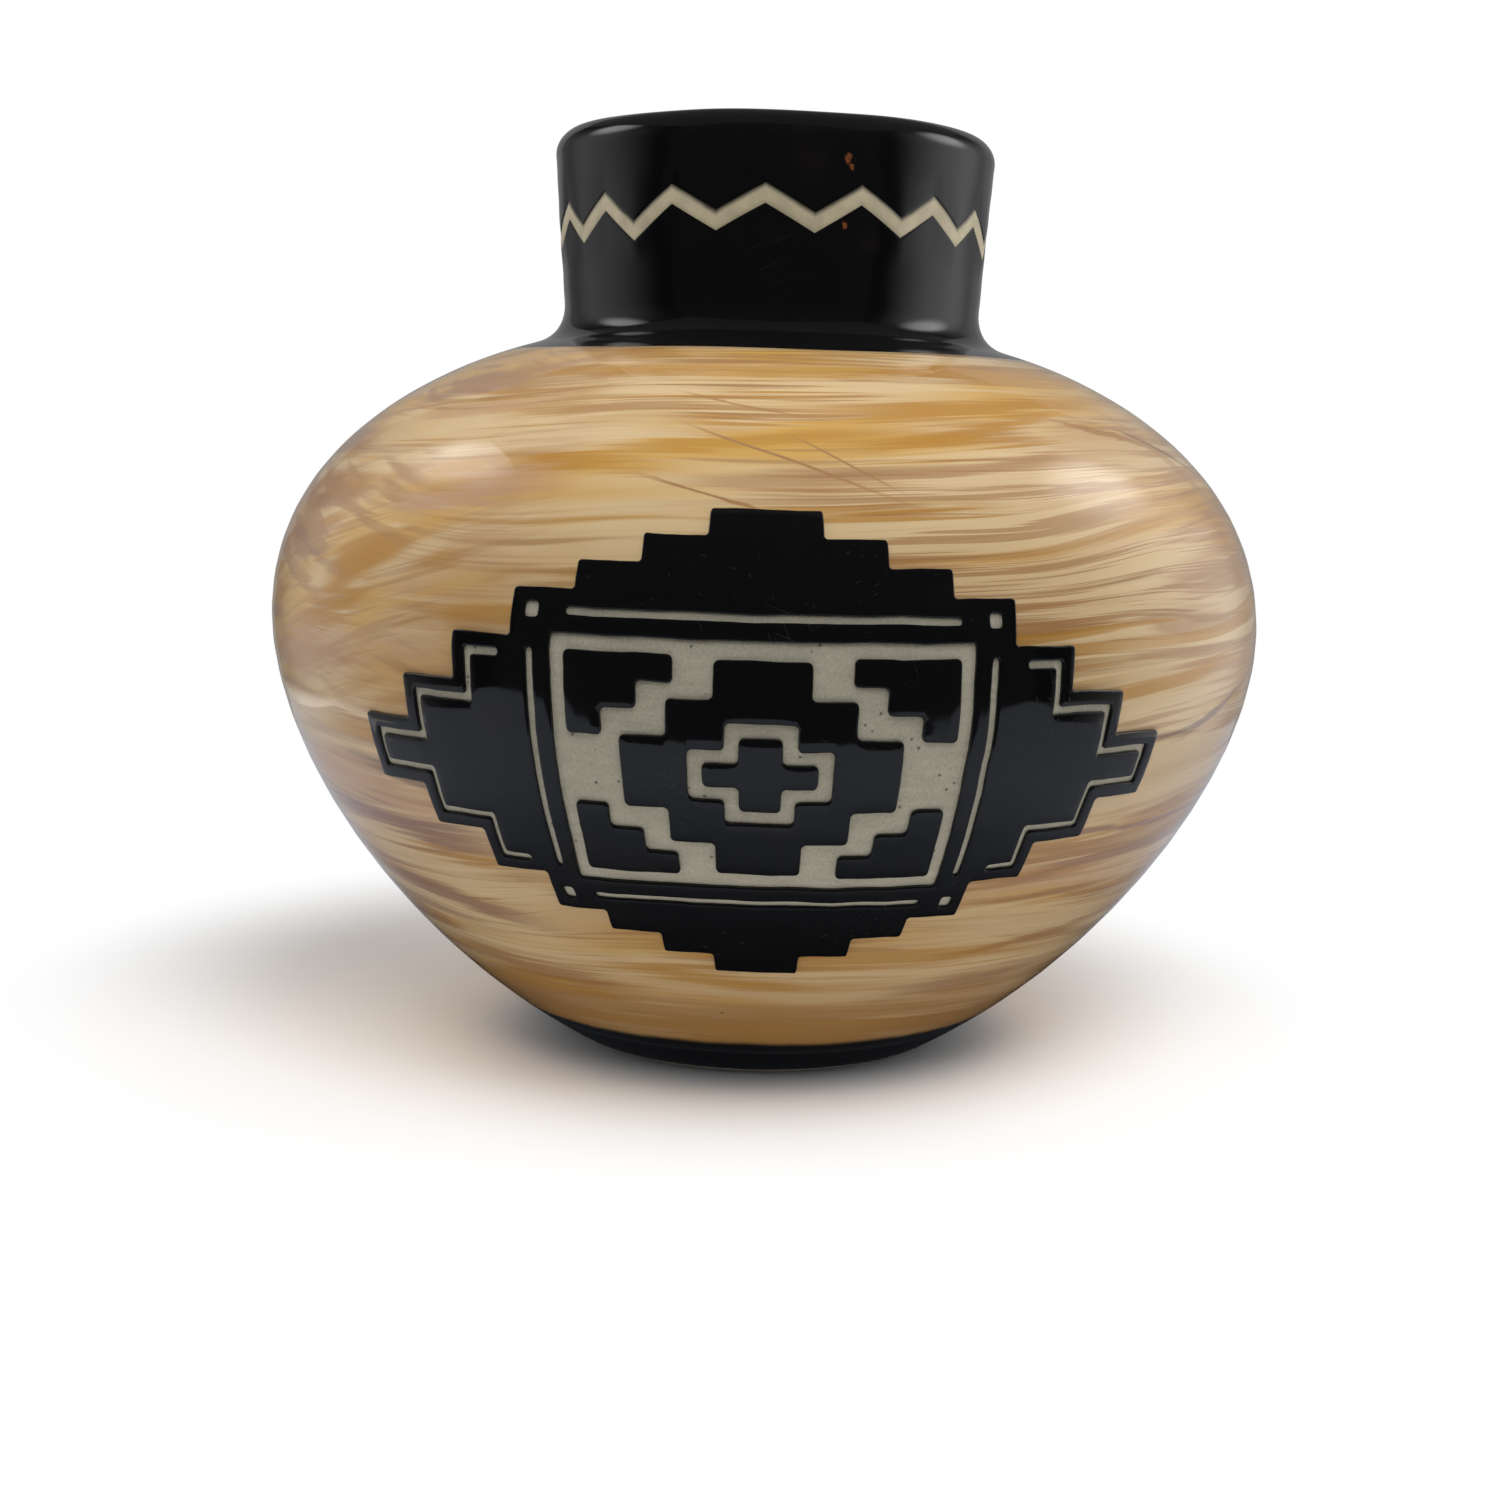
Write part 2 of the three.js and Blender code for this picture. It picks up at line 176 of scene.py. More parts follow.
class VaseColours(bpy.types.PropertyGroup):
    """Colours of the glazes, the slip and the clay, in linear light."""

    cream: colour("Cream", "Palest brushed glaze", (0.74, 0.545, 0.3))
    tan: colour("Tan", "Common tone of the brushed glaze", (0.65, 0.43, 0.195))
    honey: colour("Honey", "Broad washes", (0.66, 0.38, 0.085))
    amber: colour("Amber", "Rich narrow strokes", (0.5, 0.235, 0.025))
    rose: colour("Rose", "Pinkish washes", (0.56, 0.32, 0.17))
    brown: colour("Brown", "Soft brown strokes", (0.42, 0.22, 0.085))
    mauve: colour("Mauve", "Mauve-brown strokes", (0.31, 0.16, 0.1))
    umber: colour("Umber", "Darkest lines", (0.13, 0.06, 0.035))
    black: colour("Black", "Black glaze", (0.004, 0.004, 0.0045))
    clay: colour("Clay", "Scraped cream clay", (0.52, 0.485, 0.38))
    slip: colour("Slip", "Cream slip of the zigzag line", (0.52, 0.46, 0.32))
    foot_clay: colour("Foot clay", "Bare clay of the resting ring", (0.52, 0.42, 0.31))
    inside: colour("Inside", "Plain glaze inside the body", (0.6, 0.52, 0.4))


class VaseStage(bpy.types.PropertyGroup):
    """Floor, light tent and camera."""

    half_width: length("Half width", "From the middle to the tent's side walls", 205 * MM)
    front: length("Front", "From the axis to the tent's open front", 165 * MM)
    back: length("Back", "From the axis to the tent's back wall", 260 * MM)
    tent_height: length("Tent height", "Height of the tent's roof", 330 * MM)
    key_power: FloatProperty(
        name="Key power", description="Power of the lamp above the front, in watts", default=0.43, min=0.0
    )
    camera_away: length("Camera distance", "From the axis to the camera, level", 373.3 * MM)
    camera_height: length("Camera height", "Height of the camera", 100.95 * MM)
    camera_pitch: angle("Camera pitch", "Below level", 8.436)
    camera_roll: angle("Camera roll", "Against the clock", 1.407)
    lens: length("Lens", "Focal length for a 36 mm wide frame", 53.57 * MM)


def settings(part):
    """The property group of one part of the vase."""
    return getattr(bpy.context.scene, "vase_" + part)


# The wall in section


def bezier(corners, t):
    """Points of a cubic curve with four corners, at each of the parameters."""
    s = 1 - t
    weights = np.stack([s**3, 3 * s * s * t, 3 * s * t * t, t**3], axis=1)
    return weights @ np.array(corners)


class Wall:
    """The outer wall in section, by the distance along it from the belly line, up being positive."""

    SAMPLES = 1500

    def __init__(self):
        pot, neck = settings("pot"), settings("neck")
        flare, slope = pot.flare_angle, neck.slope
        t = np.linspace(0, 1, self.SAMPLES)
        bowl = bezier(
            [
                (pot.foot_radius, 0),
                (pot.foot_radius + pot.flare_reach * math.sin(flare), pot.flare_reach * math.cos(flare)),
                (pot.belly_radius, pot.belly_height - pot.pull_low),
                (pot.belly_radius, pot.belly_height),
            ],
            t,
        )
        shoulder = bezier(
            [
                (pot.belly_radius, pot.belly_height),
                (pot.belly_radius, pot.belly_height + pot.pull_high),
                (neck.base_radius + neck.pull * math.cos(slope), neck.corner - neck.pull * math.sin(slope)),
                (neck.base_radius, neck.corner),
            ],
            t,
        )
        self.points = np.vstack([bowl, shoulder[1:]])
        steps = np.linalg.norm(np.diff(self.points, axis=0), axis=1)
        self.ups = np.concatenate([[0], np.cumsum(steps)])
        self.ups -= self.ups[self.SAMPLES - 1]
        along = np.gradient(self.points, self.ups, axis=0)
        self.tangents = along / np.linalg.norm(along, axis=1)[:, None]
        self.top = self.ups[-1]
        self.heights = {}

    def at(self, up, out=0.0):
        """Radius and height of a point of the wall, moved off it by "out"."""
        r, z, along_r, along_z = (
            np.interp(up, self.ups, column) for column in (*self.points.T, *self.tangents.T)
        )
        return r + along_z * out, z - along_r * out

    def up_at(self, height, out=0.0):
        """The distance along the wall at which its offset line reaches a height."""
        if out not in self.heights:
            self.heights[out] = self.at(self.ups, out)[1]
        return np.interp(height, self.heights[out], self.ups)

    def up_at_radius(self, radius):
        """The distance along the shoulder at which it has come in to a radius."""
        on_shoulder = self.ups > 0
        return np.interp(-radius, -self.points[on_shoulder, 0], self.ups[on_shoulder])

    def run(self, start, end, row, out=0.0):
        """Points along the wall, about one row apart."""
        count = max(2, round(abs(end - start) / row))
        ups = list(np.linspace(start, end, count + 1))
        return [self.at(up, out) for up in ups]


def curve(corners, count):
    """Points of a quadratic curve with three corners, both ends included."""
    first, middle, last = (np.array(corner) for corner in corners)
    t = np.linspace(0, 1, count + 1)[:, None]
    return [tuple(p) for p in first * (1 - t) ** 2 + middle * 2 * t * (1 - t) + last * t * t]


def arc(centre, radius, start, end, count):
    """Points of an arc in section, from one angle to another, in degrees above level."""
    angles = np.radians(np.linspace(start, end, count + 1))
    return [(centre[0] + radius * math.cos(a), centre[1] + radius * math.sin(a)) for a in angles]


def neck_radius(height):
    """The neck's outer radius: a straight line that opens towards the lip."""
    neck = settings("neck")
    ends = (neck.corner, neck.height - neck.lip_outer)
    return np.interp(height, ends, (neck.base_radius, neck.top_radius))


SWAY_WAVES = 1.25  # waves of the sway round the body
SWAY_PITCH = 38 * MM
RING_PITCH = 5.7 * MM
GROUNDED = 8 * MM  # below this height the sway dies out towards the table


def uneven(point):
    """Where the potter's hand leaves a point of the pot: the wall strays and the lip rises and falls."""
    pot = settings("pot")
    around = Vector((point.x, point.y, 0)).normalized() * SWAY_WAVES
    broad = noise.noise(around + Vector((0, 0, point.z / SWAY_PITCH)))
    rings = math.sin(TURN * point.z / RING_PITCH + 3 * broad)
    rise = noise.noise(around * 1.4 + Vector((7, 3, 2)))
    hold = min(1, point.z / GROUNDED)
    out = (pot.sway * broad + pot.rings * rings) * hold
    radius = math.hypot(point.x, point.y)
    spread = 1 + out / radius if radius > pot.wall else 1
    return Vector((point.x * spread, point.y * spread, point.z + pot.sway * 0.8 * rise * hold * hold))


# Modelling by hand


def deselect_all():
    """Leave nothing selected, in object mode."""
    bpy.ops.object.select_all(action="DESELECT")


def select_only(piece):
    """Select one piece and nothing else."""
    deselect_all()
    piece.select_set(True)
    bpy.context.view_layer.objects.active = piece


def edit(piece):
    """Go into edit mode on one piece alone."""
    select_only(piece)
    bpy.ops.object.mode_set(mode="EDIT")


def done():
    """Back to object mode."""
    bpy.ops.object.mode_set(mode="OBJECT")


def pick(piece, kind, wanted):
    """Select the faces, edges or vertices that "wanted" says yes to, and nothing else. Leaves edit mode."""
    bpy.ops.mesh.select_mode(type=kind)
    bpy.ops.mesh.select_all(action="DESELECT")
    done()
    mesh = piece.data
    elements = {"FACE": mesh.polygons, "EDGE": mesh.edges, "VERT": mesh.vertices}[kind]
    for element in elements:
        element.select = bool(wanted(element))
    bpy.ops.object.mode_set(mode="EDIT")


def spun(name, section, columns):
    """Spin a closed section round the axis into one closed piece. It starts at the front."""
    deselect_all()
    bpy.ops.mesh.primitive_circle_add(vertices=len(section), radius=1, fill_type="NOTHING")
    piece = bpy.context.object
    piece.name = piece.data.name = name
    for vertex, (radius, height) in zip(piece.data.vertices, section):
        vertex.co = (0, -radius, height)
    edit(piece)
    bpy.ops.mesh.select_all(action="SELECT")
    bpy.ops.mesh.spin(steps=columns, angle=TURN, center=(0, 0, 0), axis=(0, 0, 1))
    tidy_mesh()
    done()
    return piece


def tidy_mesh():
    """Merge doubles, drop faces without area and turn every face outwards, in edit mode."""
    bpy.ops.mesh.select_all(action="SELECT")
    bpy.ops.mesh.remove_doubles(threshold=1e-6)
    bpy.ops.mesh.dissolve_degenerate(threshold=1e-7)
    bpy.ops.mesh.select_all(action="SELECT")
    bpy.ops.mesh.normals_make_consistent(inside=False)


def smooth(piece, limit=40):
    """Smooth shading, with a crease where faces meet at more than the limit in degrees."""
    select_only(piece)
    bpy.ops.object.shade_smooth_by_angle(angle=math.radians(limit))


def move_points(piece, place):
    """Give every vertex the place that a function works out from its old one."""
    for vertex in piece.data.vertices:
        vertex.co = place(vertex.co.copy())
    piece.data.update()


def azimuth_of(point):
    """The angle round the axis from the front, positive towards the viewer's right."""
    return math.atan2(point.x, -point.y)


def map_wall(piece, up_of):
    """A UV map in metres: round the belly from the front, and along the wall as "up_of" measures it."""
    mesh = piece.data
    radius = settings("pot").belly_radius
    layer = mesh.uv_layers.new(name="Wall map")
    ups = [up_of(vertex.co) for vertex in mesh.vertices]
    for face in mesh.polygons:
        middle = azimuth_of(face.center)
        for corner in face.loop_indices:
            index = mesh.loops[corner].vertex_index
            point = mesh.vertices[index].co
            off_axis = math.hypot(point.x, point.y) > MM
            turned = azimuth_of(point) - middle if off_axis else 0
            turned = (turned + math.pi) % TURN - math.pi
            layer.data[corner].uv = ((middle + turned) * radius, ups[index])


def finish(piece, node, materials, choose=None):
    """Materials, face by face, and the piece's place in the frame."""
    for material in materials:
        piece.data.materials.append(material)
    if choose:
        for face in piece.data.polygons:
            face.material_index = choose(face)
    smooth(piece)
    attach(piece, BODY)
    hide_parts(node)


# Node trees


class Tree:
    """A node tree being filled, with short ways to add what the glazes use."""

    def __init__(self, tree):
        self.tree = tree

    def add(self, kind, values=None, **options):
        """Add a node. Values go into its sockets, as numbers or as links from other sockets."""
        node = self.tree.nodes.new(kind)
        for key, value in options.items():
            setattr(node, key, value)
        for key, value in (values or {}).items():
            self.feed(node.inputs[key], value)
        return node

    def feed(self, socket, value):
        """Link a socket, or set it where the value is a plain one."""
        if isinstance(value, bpy.types.NodeSocket):
            self.tree.links.new(value, socket)
        else:
            socket.default_value = value

    def place(self):
        """Object coordinates, in metres."""
        return self.add("ShaderNodeTexCoord").outputs["Object"]

    def wall_map(self):
        """How far a point lies round the belly and along the wall, in metres."""
        return self.split(self.add("ShaderNodeUVMap", uv_map="Wall map").outputs[0])[:2]

    def math(self, operation, *values):
        """One sum of up to three values."""
        return self.add("ShaderNodeMath", dict(enumerate(values)), operation=operation).outputs[0]

    def times(self, first, second):
        """The first value times the second."""
        return self.math("MULTIPLY", first, second)

    def plus(self, first, second):
        """The first value plus the second."""
        return self.math("ADD", first, second)

    def minus(self, first, second):
        """The first value minus the second."""
        return self.math("SUBTRACT", first, second)

    def times_plus(self, first, second, third):
        """The first value times the second, plus the third."""
        return self.math("MULTIPLY_ADD", first, second, third)

    def vector(self, operation, *values, output=0):
        """One sum of vectors."""
        node = self.add("ShaderNodeVectorMath", dict(enumerate(values)), operation=operation)
        return node.outputs[output]

    def combine(self, x=0.0, y=0.0, z=0.0):
        """A vector of three values."""
        return self.add("ShaderNodeCombineXYZ", {0: x, 1: y, 2: z}).outputs[0]

    def split(self, vector):
        """The three values of a vector."""
        return self.add("ShaderNodeSeparateXYZ", {0: vector}).outputs

    def step(self, value, low, high, start=0.0, end=1.0):
        """A soft step from start to end as the value goes from low to high."""
        values = {"Value": value, "From Min": low, "From Max": high, "To Min": start, "To Max": end}
        return self.add("ShaderNodeMapRange", values, interpolation_type="SMOOTHSTEP").outputs["Result"]

    def mix(self, share, first, second, blend="MIX"):
        """Two colours mixed by a share."""
        values = {0: share, 6: first, 7: second}
        return self.add("ShaderNodeMix", values, data_type="RGBA", blend_type=blend).outputs[2]

    def scaled(self, vector, scale, rotation=(0, 0, 0), location=(0, 0, 0)):
        """A vector turned, moved and scaled to so many waves a metre, alike or for each axis."""
        scale = scale if isinstance(scale, tuple) else (scale,) * 3
        values = {"Vector": vector, "Scale": scale, "Rotation": rotation, "Location": location}
        return self.add("ShaderNodeMapping", values).outputs[0]

    def noise(self, vector, detail=2.0, roughness=0.5):
        """Soft noise, around a half."""
        values = {"Vector": vector, "Scale": 1.0, "Detail": detail, "Roughness": roughness}
        return self.add("ShaderNodeTexNoise", values).outputs["Fac"]

    def stray(self, vector, detail=1.0):
        """Soft noise, around zero."""
        return self.minus(self.noise(vector, detail), 0.5)

    def dots(self, vector, output="Distance"):
        """Voronoi cells: the distance to the nearest point, or its colour."""
        return self.add("ShaderNodeTexVoronoi", {"Vector": vector, "Scale": 1.0}).outputs[output]

    def spots(self, cells, share, inner, outer):
        """Round spots in a share of the cells, full up to the inner radius and gone at the outer one."""
        lucky = self.split(self.dots(cells, output="Color"))[0]
        chosen = self.math("GREATER_THAN", lucky, self.minus(1.0, share))
        return self.times(self.step(self.dots(cells), inner, outer, 1.0, 0.0), chosen)

    def use(self, group, values):
        """Place a shared group with its own values."""
        return self.add("ShaderNodeGroup", values, node_tree=group).outputs


def shared(name, inputs, outputs, fill):
    """A shared effect as a node group, built once: "fill" gets its tree and inputs and gives its outputs."""
    group = bpy.data.node_groups.get(name)
    if group:
        return group
    group = bpy.data.node_groups.new(name, "ShaderNodeTree")
    for title, default in inputs.items():
        kind = VECTOR if isinstance(default, tuple) else FLOAT
        socket = group.interface.new_socket(name=title, in_out="INPUT", socket_type=kind)
        if kind == FLOAT:
            socket.default_value = default
    for title, kind in outputs.items():
        group.interface.new_socket(name=title, in_out="OUTPUT", socket_type=kind)
    tree = Tree(group)
    results = fill(tree, tree.add("NodeGroupInput").outputs)
    tree.add("NodeGroupOutput", results)
    return group


FLOAT, VECTOR = "NodeSocketFloat", "NodeSocketVector"


def wall_place():
    """Where a point is on the wall: round the pot without a seam, and along the wall map."""

    def fill(tree, given):
        place = tree.place()
        outward = tree.vector("NORMALIZE", tree.vector("MULTIPLY", place, (1, 1, 0)))
        across, up = tree.wall_map()
        radius = settings("pot").belly_radius
        x, y, _ = tree.split(tree.vector("MULTIPLY", outward, (radius, radius, 0)))
        tilt = tree.vector("DOT_PRODUCT", outward, given["Tilt"], output="Value")
        tilted = tree.times(tilt, tree.step(up, given["Level below"], given["Tilted above"]))
        waver = tree.times(tree.stray(tree.scaled(place, 16)), given["Waver"])
        waver = tree.times_plus(tree.stray(tree.scaled(place, (12, 12, 80)), 0), given["Pace"], waver)
        level_up = tree.plus(tree.minus(up, tilted), waver)
        return {"Around": tree.combine(x, y, level_up), "Across": across, "Up": up}

    inputs = {"Tilt": (0, 0, 0), "Level below": -0.07, "Tilted above": -0.03, "Waver": 0.005, "Pace": 0.009}
    outputs = {"Around": VECTOR, "Across": FLOAT, "Up": FLOAT}
    return shared("Wall place", inputs, outputs, fill)


def brush_strokes():
    """Long strokes of a loaded brush: a mask that covers a share of the surface, in clusters."""

    def fill(tree, given):
        along = tree.math("DIVIDE", 1.0, given["Length"])
        across = tree.math("DIVIDE", 1.0, given["Width"])
        place = tree.vector("MULTIPLY", given["Place"], tree.combine(along, along, across))
        place = tree.vector("ADD", place, tree.combine(given["Seed"], 0.0, given["Seed"]))
        field = tree.noise(place, detail=1.0, roughness=0.45)
        wide = tree.vector("MULTIPLY", place, (0.7, 0.7, 0.12))
        cluster = tree.stray(tree.scaled(wide, 1, location=(4, 4, 4)))
        field = tree.times_plus(cluster, given["Cluster"], field)
        field = tree.times_plus(tree.minus(given["Bristles"], 0.5), given["Dry"], field)
        middle = tree.times_plus(given["Cover"], -0.5, 0.75)
        low, high = tree.minus(middle, given["Edge"]), tree.plus(middle, given["Edge"])
        return {"Strokes": tree.step(field, low, high)}

    inputs = {"Place": (0, 0, 0), "Bristles": 0.5, "Length": 0.08, "Width": 0.002}
    inputs.update({"Cover": 0.4, "Edge": 0.06, "Cluster": 0.8, "Dry": 0.3, "Seed": 0.0})
    return shared("Brush strokes", inputs, {"Strokes": FLOAT}, fill)


def hand_stroke():
    """One stroke from a place to another on the wall, with a dry-brushed edge and faded ends."""

    def fill(tree, given):
        start = given["From"]
        along = tree.vector("SUBTRACT", given["To"], start)
        reach = tree.vector("LENGTH", along, output="Value")
        way = tree.vector("NORMALIZE", along)
        here = tree.vector("SUBTRACT", given["Place"], start)
        ahead = tree.vector("DOT_PRODUCT", here, way, output="Value")
        off = tree.vector("LENGTH", tree.vector("CROSS_PRODUCT", here, way), output="Value")
        share = tree.math("DIVIDE", ahead, reach)
        begun, not_over = tree.step(share, -0.22, 0.24), tree.step(share, 0.58, 1.2, 1.0, 0.0)
        spread = tree.math("DIVIDE", off, given["Half width"])
        ragged = tree.times_plus(tree.minus(given["Bristles"], 0.5), 3.0, spread)
        body = tree.step(ragged, 0.4, 1.1, 1.0, 0.0)
        return {"Stroke": tree.times(body, tree.times(begun, not_over))}

    inputs = {"Place": (0, 0, 0), "Bristles": 0.5, "From": (0, 0, 0), "To": (0.05, 0, 0), "Half width": 0.001}
    return shared("Hand stroke", inputs, {"Stroke": FLOAT}, fill)


def glaze_skin():
    """The skin of a fired glaze: slow ripples, a fine orange peel and a few pinholes."""

    def fill(tree, given):
        place = tree.place()
        hole = tree.spots(tree.scaled(place, 210), given["Pinholes"], 0.05, 0.1)
        ripple = tree.noise(tree.scaled(place, 90), detail=1)
        height = tree.times(ripple, given["Ripple"])
        height = tree.times_plus(tree.noise(tree.scaled(place, 900)), given["Peel"], height)
        return {"Height": tree.minus(height, hole), "Holes": hole}

    inputs = {"Ripple": 1.0, "Peel": 0.05, "Pinholes": 0.02}
    return shared("Glaze skin", inputs, {"Height": FLOAT, "Holes": FLOAT}, fill)


def hair_scratches():
    """Short fine scratches in three directions, seen where the wall faces the front or the back."""

    def fill(tree, given):
        place = tree.place()
        found = 0.0
        for turn, offset in ((0.5, 3.1), (-0.35, 8.4), (1.9, 5.7)):
            turned = tree.scaled(place, 1, rotation=(0, turn, 0), location=(offset, 0, 0))
            dashes = tree.noise(tree.scaled(turned, (110, 2500, 5600)), detail=0)
            lifted = tree.times_plus(tree.stray(tree.scaled(turned, 45)), 0.6, dashes)
            found = tree.math("MAXIMUM", tree.step(lifted, 0.86, 0.92), found)
        return {"Scratches": tree.times(found, given["Strength"])}

    return shared("Hair scratches", {"Strength": 1.0}, {"Scratches": FLOAT}, fill)


def clay_grain():
    """Scraped clay: fine grain, dark specks and the drag marks of the scraping tool."""

    def fill(tree, given):
        place = tree.place()
        grain = tree.noise(tree.scaled(place, 2600), detail=3, roughness=0.7)
        drag = tree.noise(tree.scaled(place, (200, 200, 1100), rotation=(0, 0.3, 0)))
        specks = tree.spots(tree.scaled(place, 950), given["Specks"], 0.12, 0.3)
        height = tree.times_plus(drag, 0.35, tree.times(grain, 0.6))
        tone = tree.times_plus(drag, 0.3, tree.times(grain, 0.7))
        return {"Height": tree.minus(height, specks), "Specks": specks, "Tone": tone}

    outputs = {"Height": FLOAT, "Specks": FLOAT, "Tone": FLOAT}
    return shared("Clay grain", {"Specks": 0.05}, outputs, fill)


# Glazes, clay and slip


BREATH = (0.01, 0.007, 0.006, 1)  # black glaze where it thins
DUST = (0.1, 0.1, 0.1, 1)  # what scratches and pinholes of the black glaze hold
RUST = (0.24, 0.075, 0.025, 1)
SPECK = (0.06, 0.05, 0.04, 1)  # dark specks of the clay
PINHOLE = (0.05, 0.025, 0.015, 1)
SLIP_TOP_DARK = (0.012, 0.014, 0.01, 1)  # near-black that the slip line turns to towards its upper edge
SKIN_DEPTH = 0.06 * MM
INNER_DEPTH = 0.08 * MM
CLAY_DEPTH = 0.12 * MM
FLECKS = (  # places of the rusty flecks on the neck, and their radius, in mm
    ((10.65, -33.33, 139.65), 0.9),
    ((11.28, -33.04, 138.41), 0.6),
    ((10.52, -32.72, 129.94), 0.55),
)


def new_material(name, preview):
    """A material with its shader, and its tree to fill."""
    material = bpy.data.materials.new(name)
    material.use_nodes = True
    material.diffuse_color = (*preview, 1)
    return material, Tree(material.node_tree), material.node_tree.nodes["Principled BSDF"]


def opaque(rgb, share=1.0):
    """A colour, or a share of it, with full alpha, as colour sockets want it."""
    return (*(c * share for c in rgb), 1.0)


def bump(tree, shader, height, distance):
    """Feed a height into the shader's normal."""
    values = {"Strength": 1.0, "Distance": distance, "Height": height}
    tree.feed(shader.inputs["Normal"], tree.add("ShaderNodeBump", values).outputs[0])


def mottled(tree, cloud, colour, dark, light):
    """A colour between two shares of itself, as a cloud goes from low to high."""
    return tree.mix(tree.step(cloud, 0.3, 0.7), opaque(colour, dark), opaque(colour, light))


def black_glaze(name, proud=False, flecks=(), worn=1.0):
    """Glossy black glaze, with dust, hair scratches and a brown breath where it thins."""
    black = settings("colours").black
    material, tree, shader = new_material(name, black)
    place = tree.place()
    skin = tree.use(glaze_skin(), {"Ripple": 1.6 if proud else 1.0, "Peel": 0.04, "Pinholes": 0.006})
    scratches = tree.use(hair_scratches(), {"Strength": worn})["Scratches"]
    breath = tree.step(tree.noise(tree.scaled(place, 70), detail=3), 0.55, 0.8)
    tone = tree.mix(breath, opaque(black), BREATH)
    tone = tree.mix(tree.times(scratches, 0.15), tone, DUST)
    tone = tree.mix(tree.times(skin["Holes"], 0.5), tone, DUST)
    for centre, radius in flecks:
        crumbs = tree.stray(tree.scaled(place, 1300), detail=2)
        away = tree.vector("DISTANCE", place, tuple(c * MM for c in centre), output="Value")
        reach = tree.times_plus(crumbs, 2.4, tree.math("DIVIDE", away, radius * MM))
        tone = tree.mix(tree.step(reach, 0.4, 0.95, 0.75, 0.0), tone, RUST)
    tree.feed(shader.inputs["Base Color"], tone)
    smear = tree.noise(tree.scaled(place, (35, 35, 60)), detail=4, roughness=0.6)
    rough = tree.times_plus(scratches, 0.2, tree.step(smear, 0.35, 0.75, 0.05, 0.12))
    tree.feed(shader.inputs["Roughness"], rough)
    shader.inputs["IOR"].default_value = 1.52
    bump(tree, shader, skin["Height"], SKIN_DEPTH)
    return material


def clay_tone(tree, grain, tint):
    """The colour of scraped clay, with its grain and specks."""
    tone = mottled(tree, grain["Tone"], tint, 0.82, 1.12)
    return tree.mix(tree.times(grain["Specks"], 0.7), tone, SPECK)


def bare_clay(name, tint, specks):
    """Matt scraped or unglazed clay."""
    material, tree, shader = new_material(name, tint)
    grain = tree.use(clay_grain(), {"Specks": specks})
    tree.feed(shader.inputs["Base Color"], clay_tone(tree, grain, tint))
    tree.feed(shader.inputs["Roughness"], tree.step(grain["Tone"], 0.3, 0.7, 0.85, 0.65))
    bump(tree, shader, grain["Height"], CLAY_DEPTH)
    return material


def plain_glaze():
    """Plain cream glaze inside the pot."""
    colours = settings("colours")
    material, tree, shader = new_material("Inner glaze", colours.inside)
    skin = tree.use(glaze_skin(), {"Ripple": 1.0, "Peel": 0.1, "Pinholes": 0.03})
    cloud = tree.noise(tree.scaled(tree.place(), (30, 30, 80)), detail=4)
    tone = tree.mix(tree.step(cloud, 0.35, 0.7), opaque(colours.inside), opaque(colours.tan))
    tone = tree.mix(skin["Holes"], tone, opaque(colours.mauve))
    tree.feed(shader.inputs["Base Color"], tone)
    tree.feed(shader.inputs["Roughness"], tree.step(cloud, 0.3, 0.7, 0.12, 0.25))
    bump(tree, shader, skin["Height"], INNER_DEPTH)
    return material


TILT = (3.2 * MM, 3.6 * MM, 0)  # strokes rise to the right, most at 50 degrees round from the front
CROSS_TILT = (2 * MM, -1.4 * MM, 0)  # and the brown ones lie a little across the others
WAVER, CROSS_WAVER = 5 * MM, 7 * MM
BROAD = (90, 16, 0.55, 0.2, 0.3, 7.7)  # length, width, cover, soft edge, cluster and seed, in mm
STROKES = (  # colour and strength of each layer, and then the same six
    ("honey", 0.9, 90, 7, 0.4, 0.1, 1.0, 1.7),
    ("cream", 0.9, 80, 6, 0.44, 0.11, 0.8, 5.2),
    ("amber", 0.8, 90, 4, 0.2, 0.07, 1.3, 9.1),
    ("rose", 0.62, 70, 6, 0.26, 0.1, 1.0, 14.8),
    ("mauve", 0.5, 60, 2.6, 0.08, 0.08, 1.2, 21.4),
    ("brown", 0.6, 60, 1.4, 0.05, 0.06, 1.3, 3.3),
    ("amber", 0.75, 70, 0.9, 0.16, 0.05, 1.3, 44.2),
    ("brown", 0.7, 50, 0.4, 0.14, 0.04, 1.4, 12.6),
    ("brown", 0.75, 35, 0.22, 0.18, 0.05, 1.3, 31.9),
)
FINE = 1  # layers narrower than this, in mm, keep to the worked places
COOL = ((-80 * MM, -35 * MM), (85 * MM, 112 * MM))  # the pinkish strokes gather at the left and right
SIDE_STROKES = (  # colour, strength, slope to the right and the same six: the crossed strokes of the left
    ("rose", 0.9, 0.15, 40, 10, 0.62, 0.13, 0.5, 2.2),
    ("cream", 0.7, 0.3, 34, 7, 0.4, 0.11, 0.7, 6.1),
    ("honey", 0.85, 0.3, 30, 7, 0.45, 0.12, 0.8, 10.4),
    ("amber", 0.9, 0.3, 22, 4.5, 0.36, 0.1, 0.9, 13.3),
    ("mauve", 0.7, 0.1, 30, 5, 0.34, 0.12, 0.9, 17.7),
    ("brown", 0.7, -0.27, 26, 2.4, 0.26, 0.1, 1.1, 23.9),
    ("brown", 0.45, 0.25, 22, 0.7, 0.18, 0.07, 1.3, 29.4),
)
LEFT_SIDE = (-165 * MM, -120 * MM, -58 * MM, -28 * MM)  # across the wall map: fades in, is full, fades out
LEFT_LOW = (-16 * MM, 2 * MM)  # up the wall: fades in, is full
